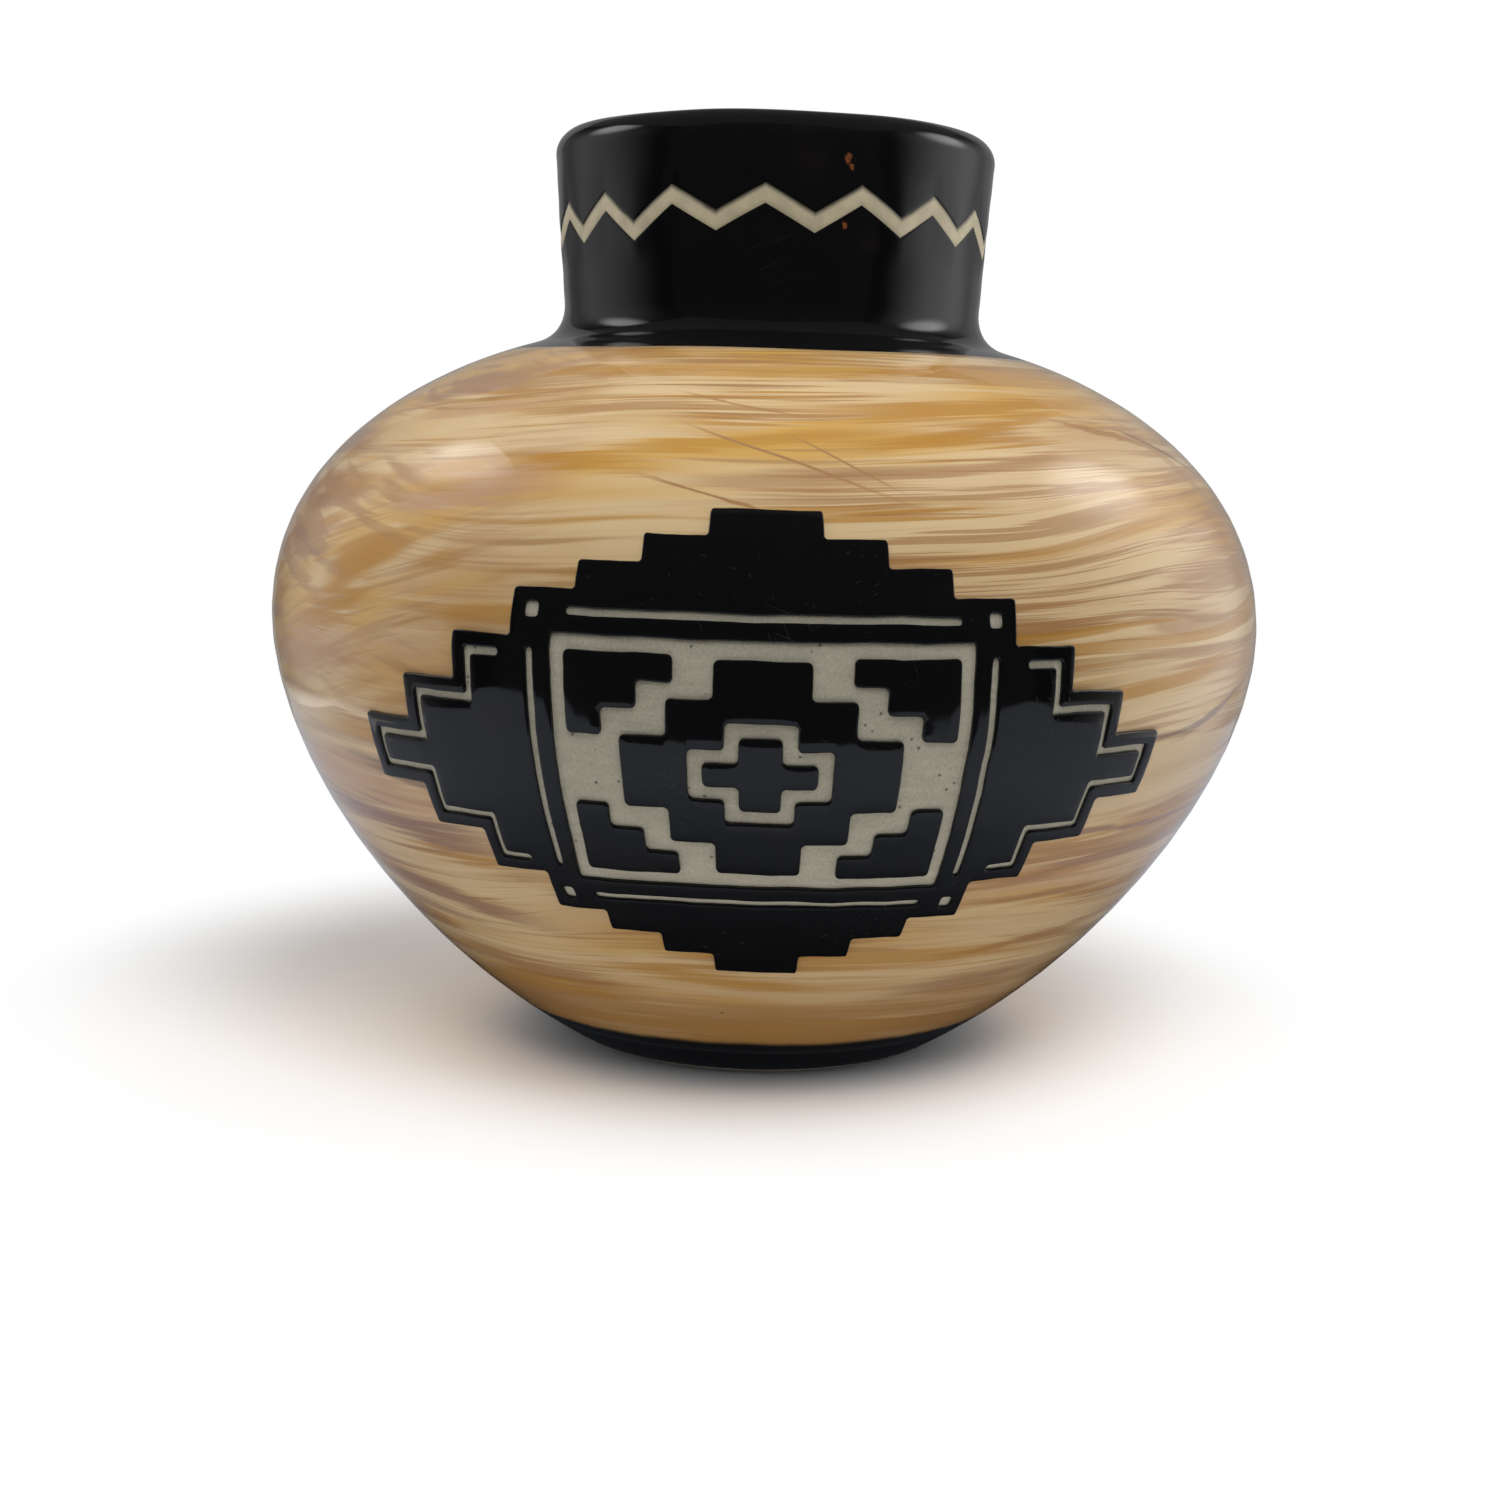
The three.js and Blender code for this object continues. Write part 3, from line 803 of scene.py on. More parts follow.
STEEP = 0.3  # slope from which a hand stroke has smooth edges
HAND_STROKES = (  # colour, strength, from and to across and up the wall, and half width, in mm
    ("honey", 0.8, (34, 42), (98, 48), 6),
    ("cream", 0.75, (-86, 34), (-50, 38), 7),
    ("cream", 0.7, (-62, 34), (-30, 36), 5),
    ("amber", 1.0, (-42, 29), (-16, 28.5), 2.1),
    ("honey", 1.0, (-26, 30), (29, 38), 3.4),
    ("amber", 0.6, (-24, 31), (26, 37), 1.6),
    ("amber", 0.85, (11, 40.4), (91, 46), 2.1),
    ("amber", 0.85, (16, 33), (64, 42), 1.7),
    ("amber", 0.6, (-44, 50), (54, 54), 2.4),
    ("brown", 0.6, (-82, 42), (-45, 56), 1.8),
    ("brown", 0.7, (-92, 38), (-28, 47), 0.4),
    ("rose", 0.6, (-74, 38), (-46, 41.7), 1.8),
    ("rose", 1.0, (-62, 20), (-34, 25.5), 3.8),
    ("amber", 1.0, (-74, 8), (-57, 15), 3.2),
    ("honey", 0.7, (-64, 18), (-46, 20), 2.4),
    ("brown", 0.75, (-96, 25), (-56, 14.5), 1.2),
    ("brown", 0.65, (-104, 13), (-72, 4), 1.3),
    ("brown", 0.5, (-88, 23), (-61, 20), 0.8),
    ("amber", 0.8, (-82, 1), (-60, 7), 3.2),
    ("rose", 0.7, (-98, -4), (-66, -1), 4),
    ("mauve", 0.5, (-97, 15), (-69, 9), 1.2),
    ("brown", 0.75, (4, 27.5), (66, 32), 1.2),
    ("brown", 0.75, (-5, 22.5), (94, 28.3), 0.6),
    ("brown", 0.6, (-12, 25.6), (18, 27.4), 1.5),
    ("brown", 0.7, (30, 26), (74, 27.4), 0.5),
    ("brown", 0.85, (72, 12), (112, 14), 3.2),
    ("honey", 0.5, (60, 22), (108, 26), 4),
    ("brown", 0.85, (58, 40), (92, 33), 0.9),
    ("umber", 0.7, (78, 38), (100, 29), 0.6),
    ("brown", 0.42, (80, 41), (104, 11), 2.4),
    ("rose", 0.35, (92, 44), (118, 18), 4),
    ("umber", 0.6, (50, -13), (84, -9.5), 0.45),
    ("umber", 0.8, (74, -11), (106, -2), 0.7),
    ("amber", 0.8, (46, -5.6), (86, -0.6), 1.2),
    ("cream", 0.8, (-84, -35), (-38, -39), 4),
    ("cream", 0.6, (-66, -50), (-30, -51), 3.5),
    ("cream", 0.75, (34, -44), (92, -43), 5),
    ("cream", 0.6, (30, -23), (96, -20), 2.5),
    ("mauve", 0.8, (31, -27.3), (99, -25.4), 0.8),
    ("rose", 0.5, (34, -35), (92, -33), 3.2),
    ("brown", 0.85, (29, -31), (82, -30), 0.9),
    ("mauve", 0.65, (44, -34), (96, -29), 1.2),
    ("brown", 0.85, (36, -38.2), (72, -37.5), 0.7),
    ("brown", 0.85, (36, -50), (82, -46), 1.2),
    ("rose", 0.75, (84, -4), (130, -2), 5),
    ("amber", 0.7, (-76, -14), (-40, -14), 1.8),
    ("umber", 0.7, (-70, -18.5), (-38, -22.5), 1.7),
    ("rose", 0.85, (-94, -21), (-50, -25), 4.5),
    ("mauve", 0.95, (-90, -28), (-41, -30.5), 2.8),
    ("mauve", 0.8, (-80, -41), (-40, -45), 1.8),
    ("brown", 0.8, (-74, -55), (-24, -59), 2.4),
    ("amber", 0.7, (-26, -46), (70, -51), 3),
    ("amber", 0.7, (-26, -53.5), (20, -56.5), 2),
    ("mauve", 0.55, (30, -58), (78, -55), 2.6),
    ("brown", 0.7, (-70, -66), (68, -62), 3.6),
    ("brown", 1.0, (-11.7, 35.6), (19.8, 23.7), 0.32),
    ("brown", 1.0, (-17.8, 26), (3.3, 20.3), 0.3),
    ("brown", 0.9, (5, 34), (20, 25.3), 0.28),
    ("brown", 0.8, (-15.4, 43.8), (9, 38.4), 0.26),
)  # the renderer has room for 64 of these in one material
LOW_DARK_TONE = (0.46, 0.235, 0.065)  # darker orange-brown that the brushed colour turns to towards the foot
LOW_REACH = (-82 * MM, -50 * MM)
FOOT_BAND = 7.5 * MM  # height that the black of the foot reaches up the bowl
FOOT_EDGE = 1.1 * MM


def stroke_mask(tree, place, bristles, long, wide, cover, edge, cluster, seed):
    """The mask of one layer of strokes, with its length and width in mm."""
    values = {"Place": place, "Bristles": bristles, "Length": long * MM, "Width": wide * MM}
    values.update({"Cover": cover, "Edge": edge, "Cluster": cluster, "Seed": seed})
    return tree.use(brush_strokes(), values)["Strokes"]


def painted(tree, tone, mask, strength, name):
    """The tone with one more of the brushed colours laid over it."""
    return tree.mix(tree.times(mask, strength), tone, opaque(getattr(settings("colours"), name)))


def streaks(tree, where):
    """The brushed tone, layer over layer: strokes all round, crossed ones on the left, and single ones."""
    colours = settings("colours")
    around, across, up = where["Around"], where["Across"], where["Up"]
    crossing = tree.use(wall_place(), {"Tilt": CROSS_TILT, "Waver": CROSS_WAVER})["Around"]
    bristles = tree.noise(tree.scaled(around, (22, 22, 1000)), roughness=0.6)
    drift = tree.stray(tree.scaled(around, 30), detail=2)
    drifted = tree.times_plus(drift, 50 * MM, across)
    raised = tree.times_plus(drift, 30 * MM, up)
    beside = tree.times(tree.step(drifted, *LEFT_SIDE[:2]), tree.step(drifted, *LEFT_SIDE[2:], 1.0, 0.0))
    beside = tree.times(beside, tree.step(raised, *LEFT_LOW))
    worked = tree.step(tree.noise(tree.scaled(around, (16, 16, 36)), detail=1), 0.42, 0.58, 0.1, 1.0)
    worked = tree.times(worked, tree.times_plus(beside, -0.75, 1.0))
    cool_left, cool_right = tree.step(across, *COOL[0], 1.0, 0.25), tree.step(across, *COOL[1], 0.25, 1.0)
    cool = tree.math("MAXIMUM", cool_left, cool_right)

    broad = stroke_mask(tree, around, 0.5, *BROAD)
    tone = tree.mix(broad, opaque(colours.tan), opaque(colours.cream))
    for name, strength, *layer in STROKES:
        mask = stroke_mask(tree, crossing if name == "brown" else around, bristles, *layer)
        if layer[1] < FINE:
            mask = tree.times(mask, worked)
        if name in ("rose", "mauve"):
            mask = tree.times(mask, cool)
        tone = painted(tree, tone, mask, strength, name)

    for name, strength, slope, *layer in SIDE_STROKES:
        place = tree.combine(tree.times_plus(up, slope, across), 0.0, tree.times_plus(across, -slope, up))
        mask = stroke_mask(tree, place, tree.noise(tree.scaled(place, (45, 1, 420))), *layer)
        tone = painted(tree, tone, tree.times(mask, beside), strength, name)

    sway = tree.stray(tree.scaled(around, 25))
    flat = tree.combine(across, tree.times_plus(sway, 3 * MM, up), 0.0)
    for name, strength, start, end, half_width in HAND_STROKES:
        steep = abs(end[1] - start[1]) > STEEP * abs(end[0] - start[0])
        values = {"Place": flat, "Bristles": 0.5 if steep else bristles, "Half width": half_width * MM}
        values.update({"From": (start[0] * MM, start[1] * MM, 0), "To": (end[0] * MM, end[1] * MM, 0)})
        tone = painted(tree, tone, tree.use(hand_stroke(), values)["Stroke"], strength, name)

    fine = tree.times(tree.step(bristles, 0.4, 0.75, 0.0, 0.16), worked)
    tone = tree.mix(fine, tone, opaque(colours.brown), blend="MULTIPLY")
    # darker and more orange-brown towards the foot
    return tree.mix(tree.step(up, *LOW_REACH, 0.9, 0.0), tone, opaque(LOW_DARK_TONE))


def brushed_glaze(wall):
    """Clear gloss glaze over brushed honey, amber and mauve-brown strokes, scraped bare in the window."""
    colours, medallion = settings("colours"), settings("medallion")
    material, tree, shader = new_material("Brushed glaze", colours.tan)
    where = tree.use(wall_place(), {"Tilt": TILT, "Waver": WAVER})
    around, across, up = where["Around"], where["Across"], where["Up"]
    tone = streaks(tree, where)
    skin = tree.use(glaze_skin(), {"Ripple": 1.0, "Peel": 0.05, "Pinholes": 0.012})
    tone = tree.mix(skin["Holes"], tone, PINHOLE)

    grain = tree.use(clay_grain(), {"Specks": 0.07})
    half_width = (medallion.frame_width - medallion.bar) / 2
    half_height = (medallion.frame_height - medallion.bar) / 2
    from_middle = tree.math("ABSOLUTE", tree.plus(up, medallion.drop))
    within = tree.math("LESS_THAN", tree.math("ABSOLUTE", across), half_width)
    bare = tree.times(within, tree.math("LESS_THAN", from_middle, half_height))
    covered = tree.minus(1.0, bare)
    tone = tree.mix(bare, tone, clay_tone(tree, grain, colours.clay))

    waver = tree.noise(tree.scaled(around, 120), detail=3)
    band = tree.times_plus(waver, 1.2 * MM, tree.minus(up, 0.6 * MM))
    band_top = float(wall.up_at(FOOT_BAND))
    foot = tree.step(band, band_top - FOOT_EDGE, band_top + FOOT_EDGE, 1.0, 0.0)
    tree.feed(shader.inputs["Base Color"], tree.mix(foot, tone, opaque(colours.black)))

    tree.feed(shader.inputs["Roughness"], tree.times_plus(bare, 0.35, 0.4))
    tree.feed(shader.inputs["Coat Weight"], covered)
    shader.inputs["Coat Roughness"].default_value = 0.04
    shader.inputs["Coat IOR"].default_value = 1.5
    shader.inputs["Specular IOR Level"].default_value = 0.25
    rough = tree.times(tree.times(grain["Height"], bare), CLAY_DEPTH / SKIN_DEPTH)
    bump(tree, shader, tree.plus(rough, tree.times(skin["Height"], covered)), SKIN_DEPTH)
    return material


def slip_material():
    """Cream slip under the glaze: crisp below, fading into the black above."""
    slip, edge = settings("colours").slip, settings("neck").line_width / 2
    material, tree, shader = new_material("Cream slip", slip)
    mottle = tree.noise(tree.scaled(tree.place(), 350), detail=3)
    ragged = tree.times_plus(tree.minus(mottle, 0.5), 0.5 * MM, tree.wall_map()[1])
    # the slip darkens to near-black towards its upper edge
    darker_top = tree.step(ragged, edge - 0.85 * MM, edge, 0.0, 0.92)
    tree.feed(shader.inputs["Base Color"], tree.mix(darker_top, mottled(tree, mottle, slip, 0.88, 1.1), SLIP_TOP_DARK))
    tree.feed(shader.inputs["Roughness"], tree.step(mottle, 0.3, 0.7, 0.5, 0.35))
    skin = tree.use(glaze_skin(), {"Ripple": 1.0, "Peel": 0.3, "Pinholes": 0.02})
    bump(tree, shader, skin["Height"], SKIN_DEPTH)
    return material


# Pieces of the pot


ROW = 1.8 * MM
INNER_ROW = 2.4 * MM
SEAM_ROWS = (0.0, 0.08 * MM, 0.5 * MM)  # rows beside the belly line keep the shading whole across it
WORN = 0.12  # share of the foot's rounding that is worn bare
SKIN_SHARE = 0.4  # faces within this share of the wall count as its outside


def seam_run(wall, start, row, out=0.0):
    """Points along the wall from the belly line to a far end, closer together beside the line."""
    side = 1 if start > 0 else -1
    beside = [wall.at(side * step, out) for step in SEAM_ROWS]
    return beside + wall.run(side * row, start, row, out)


def is_outside(wall, face):
    """Whether a face of the body lies on the outer wall."""
    radius = math.hypot(face.center.x, face.center.y)
    return radius > wall.at(wall.up_at(face.center.z))[0] - settings("pot").wall * SKIN_SHARE


class VASE_OT_foot_ring(bpy.types.Operator):
    """Turned foot ring: black outside, bare clay where it rests"""

    bl_idname = "vase.foot_ring"
    bl_label = "Foot ring"

    def execute(self, context):
        pot, wall = settings("pot"), Wall()
        inner = pot.foot_radius - pot.foot_width
        rounding = pot.foot_round
        edge = wall.up_at(rounding)
        outer = wall.at(edge)
        section = [
            *curve([(inner, rounding), (inner, 0), (inner + rounding, 0)], 4),
            (pot.foot_radius - pot.foot_width / 2, 0),
            *curve([(pot.foot_radius - rounding, 0), (pot.foot_radius, 0), outer], 4),
            *wall.run(edge, wall.up_at(pot.foot_height), ROW)[1:],
            (inner, pot.foot_height),
        ]
        piece = spun("turned_foot", section, pot.columns)
        map_wall(piece, lambda point: wall.up_at(point.z))
        move_points(piece, uneven)

        def choose(face):
            """Bare clay where it rests and in the recess."""
            return 1 if face.center.z < rounding * WORN or face.center.xy.length < inner + rounding else 0

        colours = settings("colours")
        bare = bare_clay("Foot clay", colours.foot_clay, 0.08)
        finish(piece, "foot_ring", [black_glaze("Foot glaze"), bare], choose)
        return {"FINISHED"}


class VASE_OT_bowl(bpy.types.Operator):
    """Thrown lower bowl with its floor"""

    bl_idname = "vase.bowl"
    bl_label = "Bowl"

    def execute(self, context):
        pot, wall = settings("pot"), Wall()
        floor_top = pot.foot_height + pot.floor
        wall_foot = wall.up_at(floor_top, -pot.wall)
        corner = wall.at(wall_foot, -pot.wall)
        sweep_end = wall_foot + pot.floor_sweep
        sweep = curve([wall.at(sweep_end, -pot.wall), corner, (corner[0] - pot.floor_sweep, floor_top)], 6)
        outside = seam_run(wall, wall.up_at(pot.foot_height), ROW)
        inside = seam_run(wall, sweep_end, INNER_ROW, -pot.wall)
        rings = [(share * corner[0], floor_top) for share in (0.6, 0.4, 0.2, 0)]
        recess = [(share * pot.foot_radius, pot.foot_height) for share in (0, 0.25, 0.5, 0.79, 1)]
        section = [*recess, *reversed(outside), *inside, *sweep[1:], *rings]
        piece = spun("thrown_bowl", section, pot.columns)
        map_wall(piece, lambda point: wall.up_at(point.z))

        def choose(face):
            if is_outside(wall, face):
                return 0
            return 2 if face.center.z < pot.foot_height + MM else 1

        colours = settings("colours")
        materials = [brushed(wall), inner_glaze(), bare_clay("Recess clay", colours.foot_clay, 0.08)]
        finish(piece, "lower_bowl", materials, choose)
        move_points(piece, uneven)
        return {"FINISHED"}


class VASE_OT_shoulder(bpy.types.Operator):
    """Thrown shoulder, luted to the bowl at the belly line"""

    bl_idname = "vase.shoulder"
    bl_label = "Shoulder"

    def execute(self, context):
        pot, neck, wall = settings("pot"), settings("neck"), Wall()
        seat_up = wall.up_at_radius(neck.seat_radius)
        seat = wall.at(seat_up)[1]
        bore = neck.base_radius - neck.wall
        shelf = seat - pot.wall
        inner_top = wall.up_at(shelf, -pot.wall)
        inner_end = wall.at(inner_top, -pot.wall)
        outside = seam_run(wall, seat_up, ROW)
        inside = seam_run(wall, inner_top - 2 * MM, INNER_ROW, -pot.wall)
        turn = curve([inside[-1], inner_end, (inner_end[0] - 3 * MM, shelf)], 4)
        edge = curve([(bore + 2 * MM, shelf), (bore, shelf), (bore, shelf + 2 * MM)], 4)
        section = [*outside, (bore, seat), *reversed(edge), *reversed(turn[1:]), *reversed(inside)]
        piece = spun("thrown_shoulder", section, pot.columns)
        map_wall(piece, lambda point: wall.up_at(point.z))
        materials = [brushed(wall), inner_glaze()]
        finish(piece, "shoulder", materials, lambda face: 0 if is_outside(wall, face) else 1)
        move_points(piece, uneven)
        return {"FINISHED"}


def brushed(wall):
    """The brushed glaze, made once for both halves of the body."""
    return bpy.data.materials.get("Brushed glaze") or brushed_glaze(wall)


def inner_glaze():
    """The inner glaze, made once."""
    return bpy.data.materials.get("Inner glaze") or plain_glaze()


# The neck and its zigzag line


CHANNEL = 0.3 * MM  # depth of the carved channel
CHANNEL_WEAR = (0.12 * MM, 0.03 * MM)  # how far its edges are worn, along the neck and into it
CHANNEL_LEAN = 0.08 * MM
SLIP_EASE = 0.03 * MM  # room between the slip and the channel's edges
SLIP_CROWN = 0.1 * MM  # how much the slip's edges sink
SLIP_BED = 0.15 * MM  # how far the slip reaches below the channel's floor
NEAR_LINE = 2.4 * MM  # rows this near the line keep their distance to it
FAR_FROM_LINE = 7.5 * MM  # rows this far from it lie level
BLACK_INSIDE = 22 * MM  # how far the black glaze reaches down inside the neck


def zigzag(column, columns):
    """Azimuth of a column of faces, and the height of the line there above its mean."""
    neck = settings("neck")
    turn = column / columns * TURN + neck.line_phase
    azimuth = turn + neck.line_stretch / 3 * math.sin(3 * turn)
    slopes = column / columns * neck.teeth * 2
    swing = (0.5 - abs(1 - slopes % 2)) * -neck.line_rise
    drift = neck.line_drift * math.cos(2 * (azimuth - neck.line_drift_at))
    corner, share = divmod(slopes, 1)
    last = neck.teeth * 2
    ends = [noise.noise(Vector((1.7 * (c % last), 4.4, 0))) for c in (corner, corner + 1)]
    wander = 2 * neck.line_wander * (ends[0] * (1 - share) + ends[1] * share)
    return azimuth, swing + drift + wander


def follow_line(piece, columns):
    """Turn each column to its place and lift what is near the line with it, on the outer side."""
    neck = settings("neck")
    places = [zigzag(column, columns) for column in range(columns)]

    def place(point):
        column = round(azimuth_of(point) / TURN * columns) % columns
        azimuth, lift = places[column]
        radius = math.hypot(point.x, point.y)
        near = 1 - np.interp(abs(point.z - neck.line_height), (NEAR_LINE, FAR_FROM_LINE), (0, 1))
        outer = radius > neck.base_radius - neck.wall / 2
        height = point.z + (lift * near if outer else 0)
        return Vector((radius * math.sin(azimuth), -radius * math.cos(azimuth), height))

    move_points(piece, place)


def line_half_height():
    """Half the line's width, measured upright."""
    neck = settings("neck")
    run = TURN * neck_radius(neck.line_height) / (2 * neck.teeth)
    return neck.line_width / 2 / math.cos(math.atan2(neck.line_rise, run))


class VASE_OT_neck(bpy.types.Operator):
    """Collar neck with its fillet, its rounded lip and the channel of the zigzag line"""

    bl_idname = "vase.neck"
    bl_label = "Neck"

    def execute(self, context):
        pot, neck, wall = settings("pot"), settings("neck"), Wall()
        bore = neck.base_radius - neck.wall
        seat_up = wall.up_at_radius(neck.seat_radius)
        seat = wall.at(seat_up)[1]
        fillet_foot = wall.top - neck.fillet
        fillet_top = neck.corner + neck.fillet
        fillet_end = (neck_radius(fillet_top), fillet_top)
        fillet = curve([wall.at(fillet_foot), (neck.base_radius, neck.corner), fillet_end], 10)
        half = line_half_height()
        lip_start = neck.height - neck.lip_outer
        lip_top = neck.top_radius - neck.lip_outer
        outer_lip = arc((lip_top, lip_start), neck.lip_outer, 0, 90, 12)
        lip_inside = neck.top_radius - neck.wall
        inner_centre = (lip_inside + neck.lip_inner, neck.height - neck.lip_inner)
        inner_lip = arc(inner_centre, neck.lip_inner, 90, 180, 8)
        lower = np.linspace(fillet_top, neck.line_height - half - 0.5 * MM, 8)[1:]
        upper = np.linspace(neck.line_height + half + 0.5 * MM, lip_start, 8)[:-1]
        section = [(bore, seat), *wall.run(seat_up, fillet_foot, ROW), *fillet[1:]]
        section += [(neck_radius(z), z) for z in lower]
        wear, dip = CHANNEL_WEAR
        side = [(-half - wear, 0), (-half, dip), (-half + CHANNEL_LEAN, CHANNEL)]
        for offset, depth in (*side, (0, CHANNEL), *((-offset, depth) for offset, depth in reversed(side))):
            section.append((neck_radius(neck.line_height + offset) - depth, neck.line_height + offset))
        section += [(neck_radius(z), z) for z in upper]
        section += [*outer_lip, *inner_lip[1:]]
        inner_end = inner_lip[-1]
        section += [
            (np.interp(z, (seat, inner_end[1]), (bore, inner_end[0])), z)
            for z in np.linspace(inner_end[1], seat, 14)[1:-1]
        ]
        piece = spun("collar_neck", section, pot.columns)
        follow_line(piece, pot.columns)
        map_wall(piece, lambda point: point.z - neck.corner)
        deep = neck.height - BLACK_INSIDE

        def choose(face):
            inside = math.hypot(face.center.x, face.center.y) < lip_inside + 0.5 * MM
            return 1 if inside and face.center.z < deep else 0

        black = black_glaze("Neck glaze", flecks=FLECKS, worn=0.4)
        finish(piece, "neck_collar", [black, inner_glaze()], choose)
        move_points(piece, uneven)
        return {"FINISHED"}


class VASE_OT_zigzag(bpy.types.Operator):
    """Cream slip line that fills the zigzag channel"""

    bl_idname = "vase.zigzag"
    bl_label = "Zigzag line"

    def execute(self, context):
        pot, neck = settings("pot"), settings("neck")
        half = line_half_height() - SLIP_EASE
        section = []
        for offset in np.linspace(-half, half, 9):
            sunk = SLIP_EASE + SLIP_CROWN * (offset / half) ** 8
            section.append((neck_radius(neck.line_height + offset) - sunk, neck.line_height + offset))
        for offset in (half, -half):
            section.append((neck_radius(neck.line_height) - CHANNEL - SLIP_BED, neck.line_height + offset))
        piece = spun("zigzag_slip", section, pot.columns)
        map_wall(piece, lambda point: (point.z - neck.line_height) * neck.line_width / 2 / half)
        follow_line(piece, pot.columns)
        finish(piece, "neck_zigzag", [slip_material()])
        move_points(piece, uneven)
        return {"FINISHED"}


# The medallion of raised glaze


def centred(half_width, half_height):
    """A rectangle round the medallion's middle, as left, right, low and high."""
    return (-half_width, half_width, -half_height, half_height)


def flipped(rectangle, across=True, upright=True):
    """A rectangle mirrored to the other side, the other height or both."""
    left, right, low, high = rectangle
    if across:
        left, right = -right, -left
    if upright:
        low, high = -high, -low
    return (left, right, low, high)


def stepped_diamond(width, height, steps, inset=0.0):
    """Rectangles that make a stepped diamond, each a step narrower and a step taller."""
    return [centred(width * (steps - i) - inset, height * (i + 1) - inset) for i in range(steps)]


def inside_any(rectangles, x, y):
    """Whether a point lies in one of the rectangles."""
    return any(left < x < right and low < y < high for left, right, low, high in rectangles)


def window():
    """Half width and half height of the frame's window."""
    medallion = settings("medallion")
    return medallion.frame_width / 2 - medallion.bar, medallion.frame_height / 2 - medallion.bar


def field_outline():
    """The black field: the frame with a stepped wing on each side and a stepped crest above and below."""
    m = settings("medallion")
    half_width, half_height = m.frame_width / 2, m.frame_height / 2
    one_side = []
    for i in range(m.steps):
        wing = half_height - (i + 1) * m.wing_drop
        one_side.append((half_width + i * m.wing_step, half_width + (i + 1) * m.wing_step, -wing, wing))
        crest = half_width - (i + 1) * m.crest_draw
        one_side.append((-crest, crest, half_height + i * m.crest_step, half_height + (i + 1) * m.crest_step))
    return [centred(half_width, half_height), *one_side, *map(flipped, one_side)]


GROOVE_STOP = 5 * MM  # the frame's lines end this far from its corners


def field_grooves():
    """Carved cream lines: along the frame's bars, and stepping along the inside of each wing."""
    m = settings("medallion")
    half = m.groove / 2
    bar_x, bar_y = m.frame_width / 2 - m.bar / 2, m.frame_height / 2 - m.bar / 2
    lines = [(-bar_x + GROOVE_STOP, bar_x - GROOVE_STOP, bar_y - half, bar_y + half)]
    lines.append((bar_x - half, bar_x + half, -bar_y + GROOVE_STOP, bar_y - GROOVE_STOP))
    lines.append((bar_x - m.groove, bar_x + m.groove, bar_y - m.groove, bar_y + m.groove))
    inset = m.groove_inset
    for i in range(m.steps):
        start = m.frame_width / 2 + i * m.wing_step - (inset if i else -inset)
        end = m.frame_width / 2 + (i + 1) * m.wing_step - inset
        level = m.frame_height / 2 - (i + 1) * m.wing_drop - inset
        below = level - m.wing_drop if i < m.steps - 1 else 0
        lines.append((start - m.groove if i else start, end, level - m.groove, level))
        lines.append((end - m.groove, end, below - m.groove, level))
    ways = [(across, upright) for across in (False, True) for upright in (False, True)]
    return [flipped(line, *way) for line in lines for way in ways]


def corner_steps(side, rise):
    """Steps that fill one corner of the window: side is -1 or 1 across, rise is -1 or 1 up."""
    m = settings("medallion")
    half_width, half_height = (half - m.cream_line for half in window())
    steps = []
    for i in range(m.steps):
        across = sorted((side * half_width, side * (half_width - m.corner_width * (m.steps - i))))
        upright = sorted((rise * half_height, rise * (half_height - m.corner_height * (i + 1))))
        steps.append((*across, *upright))
    return steps


def cut_lines(values, facet):
    """Places to cut at: every given value, and no further apart than a facet."""
    ordered = sorted({round(value, 7) for value in values})
    lines = []
    for start, end in zip(ordered, ordered[1:]):
        parts = math.ceil((end - start) / facet)
        lines += [start + (end - start) * i / parts for i in range(parts)]
    return lines[1:]


SUNK = 0.35 * MM  # the glaze is fused to the clay, so its underside lies below the surface
GROOVE_FLOOR = 0.07 * MM
WOBBLE_PITCH = (7 * MM, 1.6 * MM)  # broad and fine
FINE_WOBBLE = 0.3  # share of the fine one
SWELL = 0.09 * MM  # how uneven the glaze's thickness is


